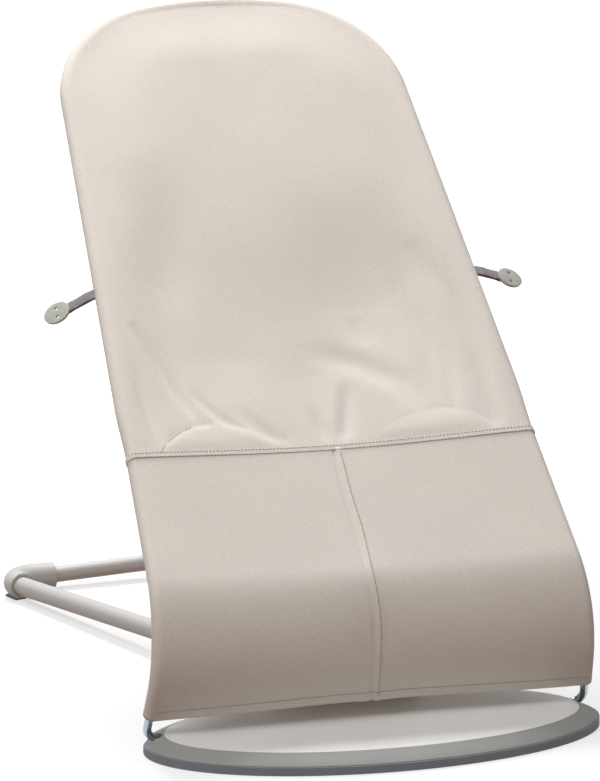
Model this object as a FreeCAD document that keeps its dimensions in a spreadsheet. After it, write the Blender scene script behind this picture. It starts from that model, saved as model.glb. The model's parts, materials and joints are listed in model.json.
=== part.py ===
import FreeCAD, Part
import math
import os

import Sketcher
from FreeCAD import Placement, Rotation, Vector

# A free-standing baby bouncer: an oval foot plate and a wide V of tubes on the floor, a long
# sprung seat that turns on two steel pins in the plate's ends, and a folding support behind it.
# World frame: X across, Y towards the head end, Z up, origin under the middle of the foot plate.
# Seat frame: origin on the pins, X across, Y (called "along") up the seat, Z (called "out")
# square to the seat, towards the child. seat_angle turns it into the world frame.

DIMENSIONS = {
    # oval foot plate
    "plate_half_width": 195,
    "plate_half_depth": 98.5,
    "rubber_height": 6.8,
    "rubber_floor": 2.2,
    "rubber_wall": 8.5,
    "plate_height": 15.3,
    "bevel_run": 18,
    "bevel_lip": 0.8,
    "skirt_bottom": 4.2,
    "cavity_inset": 45,
    "cavity_top": 12.3,
    "cover_bottom": 2.4,
    "cover_top": 4.1,
    "running_gap": 0.08,
    "assembly_gap": 0.1,
    # pins on which the seat turns
    "pin_forward": 19,
    "pin_height": 9.5,
    "pin_reach": 151,
    "bush_radius": 4.9,
    "bush_start": 152,
    "bush_length": 22,
    "bore_start": 150,
    "notch_start": 178,
    "notch_width": 26,
    # screws
    "screw_radius": 2,
    "screw_head_radius": 3.5,
    "screw_head_depth": 1,
    "screw_length": 8,
    "screw_inset": 30,
    # floor tubes and their fittings
    "side_tube_radius": 8.5,
    "cross_tube_radius": 7.25,
    "tube_wall": 1.2,
    "tube_front_across": 36,
    "tube_front_along": 76,
    "tube_front_height": 31,
    "tube_rear_across": 183,
    "tube_rear_along": 511,
    "tube_rear_height": 12,
    "socket_half_width": 60,
    "socket_front": 58,
    "socket_depth": 60,
    "socket_height": 27.5,
    "socket_corner": 12,
    "socket_bore_depth": 90,
    "corner_radius": 11.7,
    "corner_bend": 21,
    "corner_across": 187.5,
    "corner_along": 523.5,
    "corner_start": 496,
    "corner_end_across": 141,
    "corner_end_along": 528,
    "corner_bore_radius": 8.9,
    "corner_front_bore": 16,
    "corner_rear_bore": 12,
    "cross_tube_overlap": 8,
    "cross_tube_bow": 0.45,
    "cross_tube_middle_along": 541,
    "cross_tube_middle_height": 16,
    "foot_height": 2,
    "foot_width": 11,
    "foot_length": 18,
    "foot_setback": 1,
    # folding support
    "support_along": 200,
    "support_height": 45,
    "support_radius": 4.5,
    "support_half_width": 97,
    "support_top_half_width": 84,
    "support_pin_start": 70,
    "support_corner_bend": 30,
    "support_pin_bend": 10,
    "clamp_width": 25,
    "clamp_length": 26,
    "clamp_bottom": 13,
    "clamp_height": 24,
    "ear_start": 68,
    "ear_width": 18,
    "ear_depth": 20,
    "ear_bottom": 30,
    "ear_height": 24,
    "pin_bore_start": 38.8,
    "pin_bore_length": 160,
    "clamp_bore_length": 80,
    # seat frame
    "seat_angle": 40,
    "seat_out": 96.4,
    "leg_lean": 72,
    "nose_radius": 77,
    "rod_radius": 3.5,
    "rod_half_width": 190,
    "rod_end_along": 124,
    "rod_pin_bend": 10,
    "hoop_radius": 6,
    "hoop_wall": 1.5,
    "hoop_half_width": 178.5,
    "hoop_start": 87,
    "hoop_taper": 0.0602,
    "hoop_joint": 590,
    "hoop_tube_setback": 8,
    "arch_corner_radius": 102,
    "arch_top_radius": 347,
    "arch_top": 696.7,
    "plug_start": 97,
    "plug_length": 34,
    # cross bars, their clips and the notched racks
    "bar_radius": 5,
    "bar_wall": 1.2,
    "lower_bar_along": 364,
    "upper_bar_along": 506,
    "bar_out": 58,
    "bar_end_out": 84,
    "bar_bend": 25,
    "bar_flat_half_width": 84,
    "bar_slope_across": 34,
    "bar_end_inset": 2,
    "clip_length": 18,
    "clip_width": 15,
    "clip_height": 22,
    "clip_top": 3,
    "clip_side": 3,
    "clip_bar_bore": 28.1,
    "clip_bar_reach": 30,
    "rack_half_spacing": 50,
    "rack_thickness": 7,
    "rack_foot_length": 17,
    "rack_foot_drop": 9,
    "rack_foot_rise": 8,
    "rack_rail": 4,
    "rack_lower_margin": 13,
    "rack_upper_margin": 8,
    "slot_start": 408,
    "slot_end": 480,
    "slot_half_height": 6.4,
    "slot_out": 36,
    "notch_depth": 3.5,
    "first_notch": 420,
    "second_notch": 444,
    "third_notch": 462,
    # cover
    "cover_offset": 6.3,
    "cover_thickness": 3,
    "cover_edge": 7.5,
    "seam_along": 210,
    "seam_gap": 0.6,
    "hem_height": 22,
    "band_side_margin": 1,
    "hem_side_margin": 0.5,
    "back_start": 524,
    # side straps and their toggles
    "strap_along": 387,
    "strap_gap": 0.8,
    "strap_length": 22.5,
    "strap_width": 9,
    "strap_thickness": 3,
    "strap_droop_left": 38,
    "strap_droop_right": 21,
    "toggle_half_length": 13,
    "toggle_half_width": 10.5,
    "toggle_thickness": 4,
    "toggle_hole": 1.4,
    "toggle_hole_offset": 4,
    "toggle_gap": 2.5,
    # cutting tools that only have to reach past what they cut
    "tool_length": 100,
    "taper_margin": 10,
}

SIDES = {"left": -1, "right": 1}
X_AXIS = Vector(1, 0, 0)
Y_AXIS = Vector(0, 1, 0)
Z_AXIS = Vector(0, 0, 1)

doc = FreeCAD.newDocument("bouncer_seat")
sheet = doc.addObject("Spreadsheet::Sheet", "Dims")
for row, (alias, value) in enumerate(DIMENSIONS.items(), start=1):
    sheet.set(f"A{row}", alias)
    sheet.set(f"B{row}", str(value))
    sheet.setAlias(f"B{row}", alias)
doc.recompute()

nodes = {}


def size(alias):
    """The value of one driving dimension, in millimetres or degrees."""
    return float(sheet.get(alias))


def keep(label, piece):
    """Name a finished sub-part, so that it is written out."""
    piece.Label = label
    nodes[label] = piece
    return piece


def bind(piece, **expressions):
    """Bind properties of a document object to expressions on the sheet."""
    for name, expression in expressions.items():
        piece.setExpression(name, expression)
    return piece


# ---------------------------------------------------------------- shared building blocks


def cylinder(name, radius, length, start, direction):
    """A cylinder from a start point along a direction, sized by two expressions."""
    piece = doc.addObject("Part::Cylinder", name)
    bind(piece, Radius=radius, Height=length)
    piece.Placement = Placement(start, Rotation(Z_AXIS, direction))
    return piece


def box(name, length, width, height, corner):
    """A box with its lowest corner at a point, sized by three expressions."""
    piece = doc.addObject("Part::Box", name)
    bind(piece, Length=length, Width=width, Height=height)
    piece.Placement.Base = corner
    return piece


def fuse(name, pieces):
    """One solid made of several that touch."""
    piece = doc.addObject("Part::MultiFuse", name)
    piece.Shapes = pieces
    return piece


def cut(name, base, tools):
    """A solid with one or more others taken away."""
    tool = tools[0] if len(tools) == 1 else fuse(f"{name}_tools", tools)
    piece = doc.addObject("Part::Cut", name)
    piece.Base = base
    piece.Tool = tool
    return piece


def group(name, pieces):
    """Separate solids that share one node."""
    piece = doc.addObject("Part::Compound", name)
    piece.Links = pieces
    return piece


def oval(name, inset, height):
    """The foot plate's outline, drawn smaller by an inset, at a height."""
    piece = doc.addObject("Part::Ellipse", name)
    bind(
        piece,
        MajorRadius=f"Dims.plate_half_width - {inset}",
        MinorRadius=f"Dims.plate_half_depth - {inset}",
    )
    piece.setExpression("Placement.Base.z", height)
    return piece


def oval_slab(name, inset, bottom, top):
    """A flat slab with the foot plate's outline."""
    piece = doc.addObject("Part::Extrusion", name)
    piece.Base = oval(f"{name}_outline", inset, bottom)
    piece.DirMode = "Custom"
    piece.Dir = Z_AXIS
    piece.Solid = True
    bind(piece, LengthFwd=f"{top} - ({bottom})")
    return piece


def rounded_path(points, radii):
    """Straight runs through points, joined by tangent arcs of given radii."""
    edges = []
    start = points[0]
    for before, corner, after, radius in zip(points, points[1:], points[2:], radii):
        back = (before - corner).normalize()
        ahead = (after - corner).normalize()
        half_angle = back.getAngle(ahead) / 2
        reach = radius / math.tan(half_angle)
        bisector = (back + ahead).normalize()
        middle = corner + bisector * (radius / math.sin(half_angle) - radius)
        arc_start = corner + back * reach
        arc_end = corner + ahead * reach
        edges.append(Part.makeLine(start, arc_start))
        edges.append(Part.Arc(arc_start, middle, arc_end).toShape())
        start = arc_end
    edges.append(Part.makeLine(start, points[-1]))
    return Part.Wire(edges)


def swept_round(wire, radius):
    """A round bar along a wire."""
    first = wire.Edges[0]
    start = first.valueAt(first.FirstParameter)
    heading = first.tangentAt(first.FirstParameter)
    section = Part.Wire(Part.makeCircle(radius, start, heading))
    return wire.makePipeShell([section], True, True)


def bent_tube(label, wire, radius, inner_radius=0.0, placement=None):
    """A bent bar or tube: a sweep in three dimensions, which no primitive makes."""
    shape = swept_round(wire, radius)
    if inner_radius > 0:
        shape = shape.cut(swept_round(wire, inner_radius))
    piece = doc.addObject("Part::Feature", label)
    piece.Shape = shape
    piece.Placement = placement or Placement()
    return piece


def origin_plane(body, role):
    """One of a body's own origin planes."""
    return next(plane for plane in body.Origin.OriginFeatures if plane.Role == role)


def outline_sketch(body, name, role, edges):
    """A closed sketch of lines and arcs on one of the body's origin planes."""
    sketch = body.newObject("Sketcher::SketchObject", name)
    sketch.AttachmentSupport = [(origin_plane(body, role), "")]
    sketch.MapMode = "FlatFace"
    for edge in edges:
        sketch.addGeometry(edge)
    count = len(edges)
    if count > 1:
        for index in range(count):
            follower = (index + 1) % count
            sketch.addConstraint(Sketcher.Constraint("Coincident", index, 2, follower, 1))
    return sketch


def padded_body(label, role, edges, length, midplane=False, placement=None):
    """A PartDesign body padded from one closed outline."""
    body = doc.addObject("PartDesign::Body", label)
    sketch = outline_sketch(body, f"{label}_outline", role, edges)
    pad = body.newObject("PartDesign::Pad", f"{label}_pad")
    pad.Profile = sketch
    pad.Midplane = midplane
    pad.setExpression("Length", length)
    body.Placement = placement or Placement()
    return body


def polygon(points):
    """Line segments round a list of flat points."""
    corners = [Vector(across, along, 0) for across, along in points]
    return [
        Part.LineSegment(start, end) for start, end in zip(corners, corners[1:] + corners[:1])
    ]


# ---------------------------------------------------------------- the two frames

pins = Vector(0, size("pin_forward"), size("pin_height"))
seat_placement = Placement(pins, Rotation(X_AXIS, size("seat_angle")))


def seat_point(across, along, out):
    """A point given in the seat frame, in the world frame."""
    return seat_placement.multVec(Vector(across, along, out))


def hoop_half_width(along):
    """Half the distance between the hoop's side tubes, at a place along the seat."""
    return size("hoop_half_width") - size("hoop_taper") * (along - size("hoop_start"))


# ---------------------------------------------------------------- foot plate


def make_plate_bores():
    """The bushes' blind bores and the notches where the rods come out of the plate's ends."""
    tools = []
    for side, sign in SIDES.items():
        start = Vector(sign * size("bore_start"), pins.y, pins.z)
        radius = "Dims.bush_radius + Dims.running_gap"
        length = "Dims.plate_half_width - Dims.bore_start"
        tools.append(cylinder(f"bore_{side}", radius, length, start, X_AXIS * sign))
        left_edge = size("notch_start") if sign > 0 else -size("plate_half_width") - 1
        corner = Vector(left_edge, pins.y - size("notch_width") / 2, size("skirt_bottom"))
        length = "Dims.plate_half_width - Dims.notch_start + 1"
        tools.append(box(f"notch_{side}", length, "Dims.notch_width", "Dims.plate_height", corner))
    return tools


def screw_points():
    """The four screws' places, on an oval inside the plate's edge."""
    across = size("plate_half_width") - size("screw_inset")
    depth = size("plate_half_depth") - size("screw_inset")
    turns = [math.radians(angle) for angle in (60, 120, 240, 300)]
    return [Vector(across * math.cos(turn), depth * math.sin(turn), 0) for turn in turns]


def screw(name, seat, direction):
    """A flat-headed screw: its head's face at a point, its shank along a direction."""
    head = cylinder(f"{name}_head", "Dims.screw_head_radius", "Dims.screw_head_depth", seat, direction)
    shank = cylinder(f"{name}_shank", "Dims.screw_radius", "Dims.screw_length", seat, direction)
    return fuse(name, [head, shank])


def make_foot_plate():
    """The plate's shell, its underside cover, its rubber mat and the cover's screws."""
    bores = make_plate_bores()
    holes = []
    recesses = []
    screws = []
    for number, place in enumerate(screw_points(), start=1):
        seat = place + Z_AXIS * size("cover_bottom")
        hole_radius = "Dims.screw_radius + Dims.assembly_gap / 2"
        hole_length = "Dims.screw_length + Dims.assembly_gap"
        head_radius = "Dims.screw_head_radius + Dims.assembly_gap"
        holes.append(cylinder(f"screw_hole_{number}", hole_radius, hole_length, seat, Z_AXIS))
        recesses.append(
            cylinder(f"recess_{number}", head_radius, "Dims.screw_head_depth", seat, Z_AXIS)
        )
        screws.append(screw(f"plate_screw_{number}", seat, Z_AXIS))

    bevel = doc.addObject("Part::Loft", "plate_bevel")
    bevel.Sections = [
        oval("bevel_lower", "Dims.bevel_lip", "Dims.rubber_height"),
        oval("bevel_upper", "Dims.bevel_run", "Dims.plate_height"),
    ]
    bevel.Solid = True
    skirt_inset = "(Dims.rubber_wall + 0.5)"
    skirt = oval_slab("plate_skirt", skirt_inset, "Dims.skirt_bottom", "Dims.rubber_height")
    cavity = oval_slab("plate_cavity", "Dims.cavity_inset", "Dims.skirt_bottom", "Dims.cavity_top")
    shell = cut("plate_shell", fuse("plate_solid", [bevel, skirt]), [cavity] + bores + holes)
    keep("foot_plate_shell", shell)

    cover_inset = "(Dims.rubber_wall + 0.8)"
    lid = oval_slab("cover_slab", cover_inset, "Dims.cover_bottom", "Dims.cover_top")
    keep("foot_plate_underside", cut("underside", lid, holes + recesses))

    mat = oval_slab("mat_slab", "0", "0", "Dims.rubber_height")
    tray = oval_slab("mat_tray", "Dims.rubber_wall", "Dims.rubber_floor", "Dims.rubber_height")
    keep("foot_plate_rubber", cut("rubber", mat, [tray, bores[1], bores[3]]))
    keep("plate_screws", group("plate_screw_group", screws))


# ---------------------------------------------------------------- floor tubes


def tube_front(sign):
    """Where a floor tube ends inside the socket block."""
    across = sign * size("tube_front_across")
    return Vector(across, size("tube_front_along"), size("tube_front_height"))


def tube_rear(sign):
    """Where a floor tube ends inside its rear corner."""
    across = sign * size("tube_rear_across")
    return Vector(across, size("tube_rear_along"), size("tube_rear_height"))


def tube_point(sign, along):
    """The point on a floor tube's axis at a distance behind the plate's middle."""
    front = tube_front(sign)
    run = tube_rear(sign) - front
    return front + run * ((along - front.y) / run.y)


def tube_heading(sign):
    """A floor tube's direction, from front to rear."""
    return (tube_rear(sign) - tube_front(sign)).normalize()


def make_floor_tubes():
    """The two tubes that spread from the plate to the rear corners, and the one across."""
    for side, sign in SIDES.items():
        front = tube_front(sign)
        run = tube_rear(sign) - front
        length = str(run.Length)
        bore = "Dims.side_tube_radius - Dims.tube_wall"
        outer = cylinder(f"tube_outer_{side}", "Dims.side_tube_radius", length, front, run)
        inner = cylinder(f"tube_inner_{side}", bore, length, front, run)
        keep(f"base_tube_{side}", cut(f"tube_{side}", outer, [inner]))

    end_across = size("corner_end_across") + size("cross_tube_overlap")
    height = size("tube_rear_height")
    middle = Vector(0, size("cross_tube_middle_along"), size("cross_tube_middle_height"))
    slope = (middle.y - size("corner_end_along")) / size("corner_end_across")
    end_along = middle.y - slope * end_across
    ends = [Vector(sign * end_across, end_along, height) for sign in SIDES.values()]
    bend = size("cross_tube_bow") * end_across / math.tan(math.atan(slope))
    wire = rounded_path([ends[0], middle, ends[1]], [bend])
    radius = size("cross_tube_radius")
    keep("rear_cross_tube", bent_tube("cross_tube", wire, radius, radius - size("tube_wall")))


def make_socket_block():
    """The moulded block on the plate that the two floor tubes plug into, and its screws."""
    corner = Vector(-size("socket_half_width"), size("socket_front"), size("plate_height"))
    width = "2 * Dims.socket_half_width"
    block = box("socket_box", width, "Dims.socket_depth", "Dims.socket_height", corner)
    doc.recompute()
    rounded = doc.addObject("Part::Fillet", "socket_rounded")
    rounded.Base = block
    radius = size("socket_corner")
    upright = [
        index
        for index, edge in enumerate(block.Shape.Edges, start=1)
        if abs(edge.Vertexes[0].Z - edge.Vertexes[-1].Z) > 1
    ]
    rounded.Edges = [(index, radius, radius) for index in upright]
    bores = []
    for side, sign in SIDES.items():
        start = tube_front(sign) - tube_heading(sign) * size("assembly_gap")
        gap_radius = "Dims.side_tube_radius + Dims.assembly_gap / 2"
        depth = "Dims.socket_bore_depth"
        bores.append(cylinder(f"socket_bore_{side}", gap_radius, depth, start, tube_heading(sign)))
    keep("tube_socket", cut("socket", rounded, bores))


def make_rear_corners():
    """The moulded corners that join the tubes at the back, and the rubber feet under them."""
    for side, sign in SIDES.items():
        heading = tube_heading(sign)
        start = tube_point(sign, size("corner_start"))
        corner = Vector(sign * size("corner_across"), size("corner_along"), start.z)
        end_across = sign * size("corner_end_across")
        end = Vector(end_across, size("corner_end_along"), size("tube_rear_height"))
        wire = rounded_path([start, corner, end], [size("corner_bend")])
        elbow = bent_tube(f"elbow_{side}", wire, size("corner_radius"))
        front_bore = cylinder(
            f"corner_front_bore_{side}",
            "Dims.corner_bore_radius",
            "Dims.corner_front_bore",
            start - heading,
            heading,
        )
        inward = (end - corner).normalize()
        rear_bore = cylinder(
            f"corner_rear_bore_{side}",
            "Dims.cross_tube_radius + Dims.assembly_gap / 2",
            "Dims.corner_rear_bore",
            end + inward,
            inward * -1,
        )
        floor = box(
            f"corner_floor_{side}",
            "Dims.tool_length",
            "Dims.tool_length",
            "Dims.tool_length",
            Vector(
                corner.x - size("tool_length") / 2,
                corner.y - size("tool_length") / 2,
                size("foot_height") - size("tool_length"),
            ),
        )
        keep(f"rear_corner_{side}", cut(f"corner_{side}", elbow, [front_bore, rear_bore, floor]))

        foot = box(
            f"foot_{side}",
            "Dims.foot_length",
            "Dims.foot_width",
            "Dims.foot_height",
            Vector(),
        )
        turn = math.degrees(math.atan2(heading.y, heading.x))
        foot.Placement = Placement(Vector(start.x, start.y, 0), Rotation(Z_AXIS, turn)).multiply(
            Placement(Vector(size("foot_setback"), -size("foot_width") / 2, 0), Rotation())
        )
        keep(f"rear_foot_{side}", foot)


# ---------------------------------------------------------------- folding support

support_pivot = Vector(0, size("support_along"), size("support_height"))
support_top = seat_point(0, size("first_notch"), size("slot_out"))
support_run = support_top - support_pivot
support_angle = math.degrees(math.atan2(support_run.z, support_run.y))
support_placement = Placement(support_pivot, Rotation(X_AXIS, support_angle))


def make_support():
    """The bent wire that props the seat, and the clamps it turns in."""
    half = size("support_half_width")
    top_half = size("support_top_half_width")
    length = support_run.Length
    points = [
        Vector(-size("support_pin_start"), 0, 0),
        Vector(-half, 0, 0),
        Vector(-top_half, length, 0),
        Vector(top_half, length, 0),
        Vector(half, 0, 0),
        Vector(size("support_pin_start"), 0, 0),
    ]
    pin_bend = size("support_pin_bend")
    top_bend = size("support_corner_bend")
    wire = rounded_path(points, [pin_bend, top_bend, top_bend, pin_bend])
    frame = bent_tube("support_wire", wire, size("support_radius"), 0.0, support_placement)
    keep("support_frame", frame)

    for side, sign in SIDES.items():
        place = tube_point(sign, support_pivot.y)
        heading = tube_heading(sign)
        turn = math.degrees(math.atan2(heading.y, heading.x))
        saddle = box(
            f"saddle_{side}", "Dims.clamp_length", "Dims.clamp_width", "Dims.clamp_height", Vector()
        )
        saddle.Placement = Placement(
            Vector(place.x, place.y, size("clamp_bottom")), Rotation(Z_AXIS, turn)
        ).multiply(
            Placement(Vector(-size("clamp_length") / 2, -size("clamp_width") / 2, 0), Rotation())
        )
        left_edge = sign * size("ear_start") - (size("ear_width") if sign < 0 else 0)
        ear_corner = Vector(left_edge, support_pivot.y - size("ear_depth") / 2, size("ear_bottom"))
        ear = box(f"ear_{side}", "Dims.ear_width", "Dims.ear_depth", "Dims.ear_height", ear_corner)
        tube_bore = cylinder(
            f"clamp_tube_bore_{side}",
            "Dims.side_tube_radius + Dims.assembly_gap / 2",
            "Dims.clamp_bore_length",
            place - heading * (size("clamp_bore_length") / 2),
            heading,
        )
        pin_start = Vector(-sign * size("pin_bore_start"), 0, 0)
        pin_bore = cylinder(
            f"clamp_pin_bore_{side}",
            "Dims.support_radius + Dims.running_gap",
            "Dims.pin_bore_length",
            support_pivot + pin_start,
            X_AXIS * sign,
        )
        solid = fuse(f"clamp_solid_{side}", [saddle, ear])
        keep(f"support_clamp_{side}", cut(f"clamp_{side}", solid, [tube_bore, pin_bore]))


# ---------------------------------------------------------------- sprung frame of the seat


def side_direction(sign):
    """The direction of the hoop's side tube, in the seat frame."""
    return Vector(-sign * size("hoop_taper"), 1, 0).normalize()


def side_point(sign, along):
    """A point on the axis of the hoop's side tube, in the seat frame."""
    return Vector(sign * hoop_half_width(along), along, size("seat_out"))


def nose_corner():
    """Along and out of the point where the leg's line meets the seat's line."""
    lean = math.radians(size("leg_lean"))
    return size("seat_out") / math.tan(lean), size("seat_out")


def make_spring_rods():
    """Each steel rod: a pin in the plate, a leg, and the sprung nose up to the hoop."""
    corner_along, _ = nose_corner()
    for side, sign in SIDES.items():
        points = [
            Vector(sign * size("pin_reach"), 0, 0),
            Vector(sign * size("rod_half_width"), 0, 0),
            side_point(sign, corner_along),
            side_point(sign, size("rod_end_along")),
        ]
        wire = rounded_path(points, [size("rod_pin_bend"), size("nose_radius")])
        rod = bent_tube(f"rod_{side}", wire, size("rod_radius"), 0.0, seat_placement)
        keep(f"spring_rod_{side}", rod)

        start = seat_placement.multVec(side_point(sign, size("plug_start")))
        direction = seat_placement.Rotation.multVec(side_direction(sign))
        outer_radius = "Dims.hoop_radius - Dims.hoop_wall - Dims.assembly_gap / 2"
        outer = cylinder(f"plug_outer_{side}", outer_radius, "Dims.plug_length", start, direction)
        inner_radius = "Dims.rod_radius + Dims.assembly_gap / 2"
        inner = cylinder(f"plug_inner_{side}", inner_radius, "Dims.plug_length", start, direction)
        keep(f"rod_plug_{side}", cut(f"plug_{side}", outer, [inner]))

        pin_start = Vector(sign * size("bush_start"), pins.y, pins.z)
        outside = cylinder(
            f"bush_outer_{side}", "Dims.bush_radius", "Dims.bush_length", pin_start, X_AXIS * sign
        )
        bore_radius = "Dims.rod_radius + Dims.running_gap"
        inside = cylinder(
            f"bush_inner_{side}", bore_radius, "Dims.bush_length", pin_start, X_AXIS * sign
        )
        keep(f"hinge_bush_{side}", cut(f"bush_{side}", outside, [inside]))


def arch_wire(offset):
    """The hoop's arch, from one joint round the head to the other, at an offset outwards."""
    corner_radius = size("arch_corner_radius")
    top_radius = size("arch_top_radius")
    top_centre = Vector(0, size("arch_top") - top_radius, 0)
    side = side_direction(1)
    outward = Vector(side.y, -side.x, 0)
    joint = Vector(hoop_half_width(size("hoop_joint")), size("hoop_joint"), 0)
    base = joint - outward * corner_radius
    from_top = base - top_centre
    along = from_top.dot(side)
    reach = math.sqrt(along**2 - from_top.dot(from_top) + (top_radius - corner_radius) ** 2) - along
    corner_centre = base + side * reach
    towards_top = (corner_centre - top_centre).normalize()
    half_way = (outward + towards_top).normalize()
    ring = corner_radius + offset
    start = joint + outward * offset
    tangent = corner_centre + outward * ring
    meeting = corner_centre + towards_top * ring
    apex = Vector(0, size("arch_top") + offset, 0)

    def mirrored(point):
        return Vector(-point.x, point.y, point.z)

    middle = corner_centre + half_way * ring
    return [
        Part.LineSegment(start, tangent),
        Part.Arc(tangent, middle, meeting),
        Part.Arc(meeting, apex, mirrored(meeting)),
        Part.Arc(mirrored(meeting), mirrored(middle), mirrored(tangent)),
        Part.LineSegment(mirrored(tangent), mirrored(start)),
    ]


def make_hoop():
    """The hoop that carries the cover: two side tubes and the arch round the head."""
    for side, sign in SIDES.items():
        start = side_point(sign, size("hoop_start") + size("hoop_tube_setback"))
        end = side_point(sign, size("hoop_joint"))
        first = seat_placement.multVec(start)
        run = seat_placement.multVec(end) - first
        length = str(run.Length)
        bore = "Dims.hoop_radius - Dims.hoop_wall"
        outer = cylinder(f"side_outer_{side}", "Dims.hoop_radius", length, first, run)
        inner = cylinder(f"side_inner_{side}", bore, length, first, run)
        keep(f"hoop_side_{side}", cut(f"side_{side}", outer, [inner]))

    lift = Vector(0, 0, size("seat_out"))
    wire = Part.Wire([edge.toShape() for edge in arch_wire(0)])
    wire.translate(lift)
    radius = size("hoop_radius")
    arch = bent_tube("arch", wire, radius, radius - size("hoop_wall"), seat_placement)
    keep("hoop_arch", arch)


def make_cross_bars():
    """The two bowed bars behind the cover, and the clips that hold them to the hoop."""
    clips = []
    for name in ("lower", "upper"):
        along = size(f"{name}_bar_along")
        half = hoop_half_width(along) - size("bar_end_inset")
        end_out = size("bar_end_out")
        flat = size("bar_flat_half_width")
        slope_start = flat + size("bar_slope_across")
        points = [
            Vector(-half, along, end_out),
            Vector(-slope_start, along, end_out),
            Vector(-flat, along, size("bar_out")),
            Vector(flat, along, size("bar_out")),
            Vector(slope_start, along, end_out),
            Vector(half, along, end_out),
        ]
        wire = rounded_path(points, [size("bar_bend")] * 4)
        radius = size("bar_radius")
        bar = bent_tube(f"bar_{name}", wire, radius, radius - size("bar_wall"), seat_placement)
        keep(f"cross_bar_{name}", bar)
        clips += [make_clip(name, along, side, sign) for side, sign in SIDES.items()]
    keep("cross_bar_clips", group("clip_group", clips))


def make_clip(name, along, side, sign):
    """A moulded clip that holds the end of a cross bar under the hoop's side tube."""
    centre = side_point(sign, along)
    outer_face = size("clip_side")
    left_face = outer_face - size("clip_width") if sign > 0 else -outer_face
    lowest = size("clip_top") - size("clip_height")
    corner = centre + Vector(left_face, -size("clip_length") / 2, lowest)
    block = box(
        f"clip_box_{name}_{side}", "Dims.clip_width", "Dims.clip_length", "Dims.clip_height", Vector()
    )
    block.Placement = seat_placement.multiply(Placement(corner, Rotation()))
    tube_direction = side_direction(sign)
    tube_start = seat_placement.multVec(centre - tube_direction * (size("tool_length") / 2))
    heading = seat_placement.Rotation.multVec(tube_direction)
    tube_radius = "Dims.hoop_radius + Dims.assembly_gap / 2"
    reach = "Dims.tool_length"
    tube_bore = cylinder(f"clip_tube_{name}_{side}", tube_radius, reach, tube_start, heading)
    inner_across = abs(centre.x) - size("clip_bar_reach")
    inner_end = Vector(sign * inner_across, along, size("bar_end_out"))
    bar_radius = "Dims.bar_radius + Dims.assembly_gap / 2"
    bar_bore = cylinder(
        f"clip_bar_{name}_{side}",
        bar_radius,
        "Dims.clip_bar_bore",
        seat_placement.multVec(inner_end),
        X_AXIS * sign,
    )
    return cut(f"clip_{name}_{side}", block, [tube_bore, bar_bore])


def make_racks():
    """The two slotted racks under the cross bars: the wire rides in the slot below the notches."""
    out = size("bar_out")
    foot = size("rack_foot_length") / 2
    lower = size("lower_bar_along")
    upper = size("upper_bar_along")
    slot_out = size("slot_out")
    half_height = size("slot_half_height")
    bottom = slot_out - half_height - size("rack_rail")
    foot_bottom = out - size("rack_foot_drop")
    foot_top = out + size("rack_foot_rise")
    outline = [
        (lower - foot, foot_bottom),
        (lower + foot, foot_bottom),
        (size("slot_start") - size("rack_lower_margin"), bottom),
        (size("slot_end") + size("rack_upper_margin"), bottom),
        (upper - foot, foot_bottom),
        (upper + foot, foot_bottom),
        (upper + foot, foot_top),
        (lower - foot, foot_top),
    ]
    screws = []
    for side, sign in SIDES.items():
        place = Placement(
            seat_placement.multVec(Vector(sign * size("rack_half_spacing"), 0, 0)),
            seat_placement.Rotation,
        )
        plate = padded_body(
            f"rack_plate_{side}", "YZ_Plane", polygon(outline), "Dims.rack_thickness", True, place
        )
        tools = []
        slot = box(
            f"slot_{side}",
            "3 * Dims.rack_thickness",
            "Dims.slot_end - Dims.slot_start",
            "2 * Dims.slot_half_height",
            Vector(),
        )
        across = sign * size("rack_half_spacing") - 1.5 * size("rack_thickness")
        slot_corner = Vector(across, size("slot_start"), slot_out - half_height)
        slot.Placement = seat_placement.multiply(Placement(slot_corner, Rotation()))
        tools.append(slot)
        for notch in ("first_notch", "second_notch", "third_notch"):
            start = Vector(across, size(notch), slot_out + size("notch_depth"))
            tools.append(
                cylinder(
                    f"{notch}_{side}",
                    "Dims.slot_half_height",
                    "3 * Dims.rack_thickness",
                    seat_placement.multVec(start),
                    X_AXIS,
                )
            )
        for name, along in (("lower", lower), ("upper", upper)):
            start = seat_placement.multVec(Vector(across, along, out))
            tools.append(
                cylinder(
                    f"rack_{name}_bore_{side}",
                    "Dims.bar_radius + Dims.assembly_gap / 2",
                    "3 * Dims.rack_thickness",
                    start,
                    X_AXIS,
                )
            )
            seat_out = foot_bottom - size("screw_head_depth")
            seat = seat_placement.multVec(
                Vector(sign * size("rack_half_spacing"), along, seat_out)
            )
            upward = seat_placement.Rotation.multVec(Z_AXIS)
            rack_screw = screw(f"rack_screw_{name}_{side}", seat, upward)
            shank_hole = cylinder(
                f"rack_screw_hole_{name}_{side}",
                "Dims.screw_radius + Dims.assembly_gap / 2",
                "Dims.screw_length + Dims.assembly_gap",
                seat,
                upward,
            )
            tools.append(shank_hole)
            screws.append(shorten_screw(rack_screw, name, side, seat, upward))
        keep(f"recline_rack_{side}", cut(f"rack_{side}", plate, tools))
    keep("rack_screws", group("rack_screw_group", screws))


def shorten_screw(whole, name, side, seat, upward):
    """Cut a rack's screw off just short of the bar that it clamps."""
    reach = size("rack_foot_drop") + size("screw_head_depth")
    reach -= size("bar_radius") + size("assembly_gap")
    start = seat + upward * reach
    radius = "2 * Dims.screw_radius"
    tool = cylinder(f"screw_end_{name}_{side}", radius, "Dims.tool_length", start, upward)
    return cut(f"rack_screw_cut_{name}_{side}", whole, [tool])


# ---------------------------------------------------------------- cover


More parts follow.
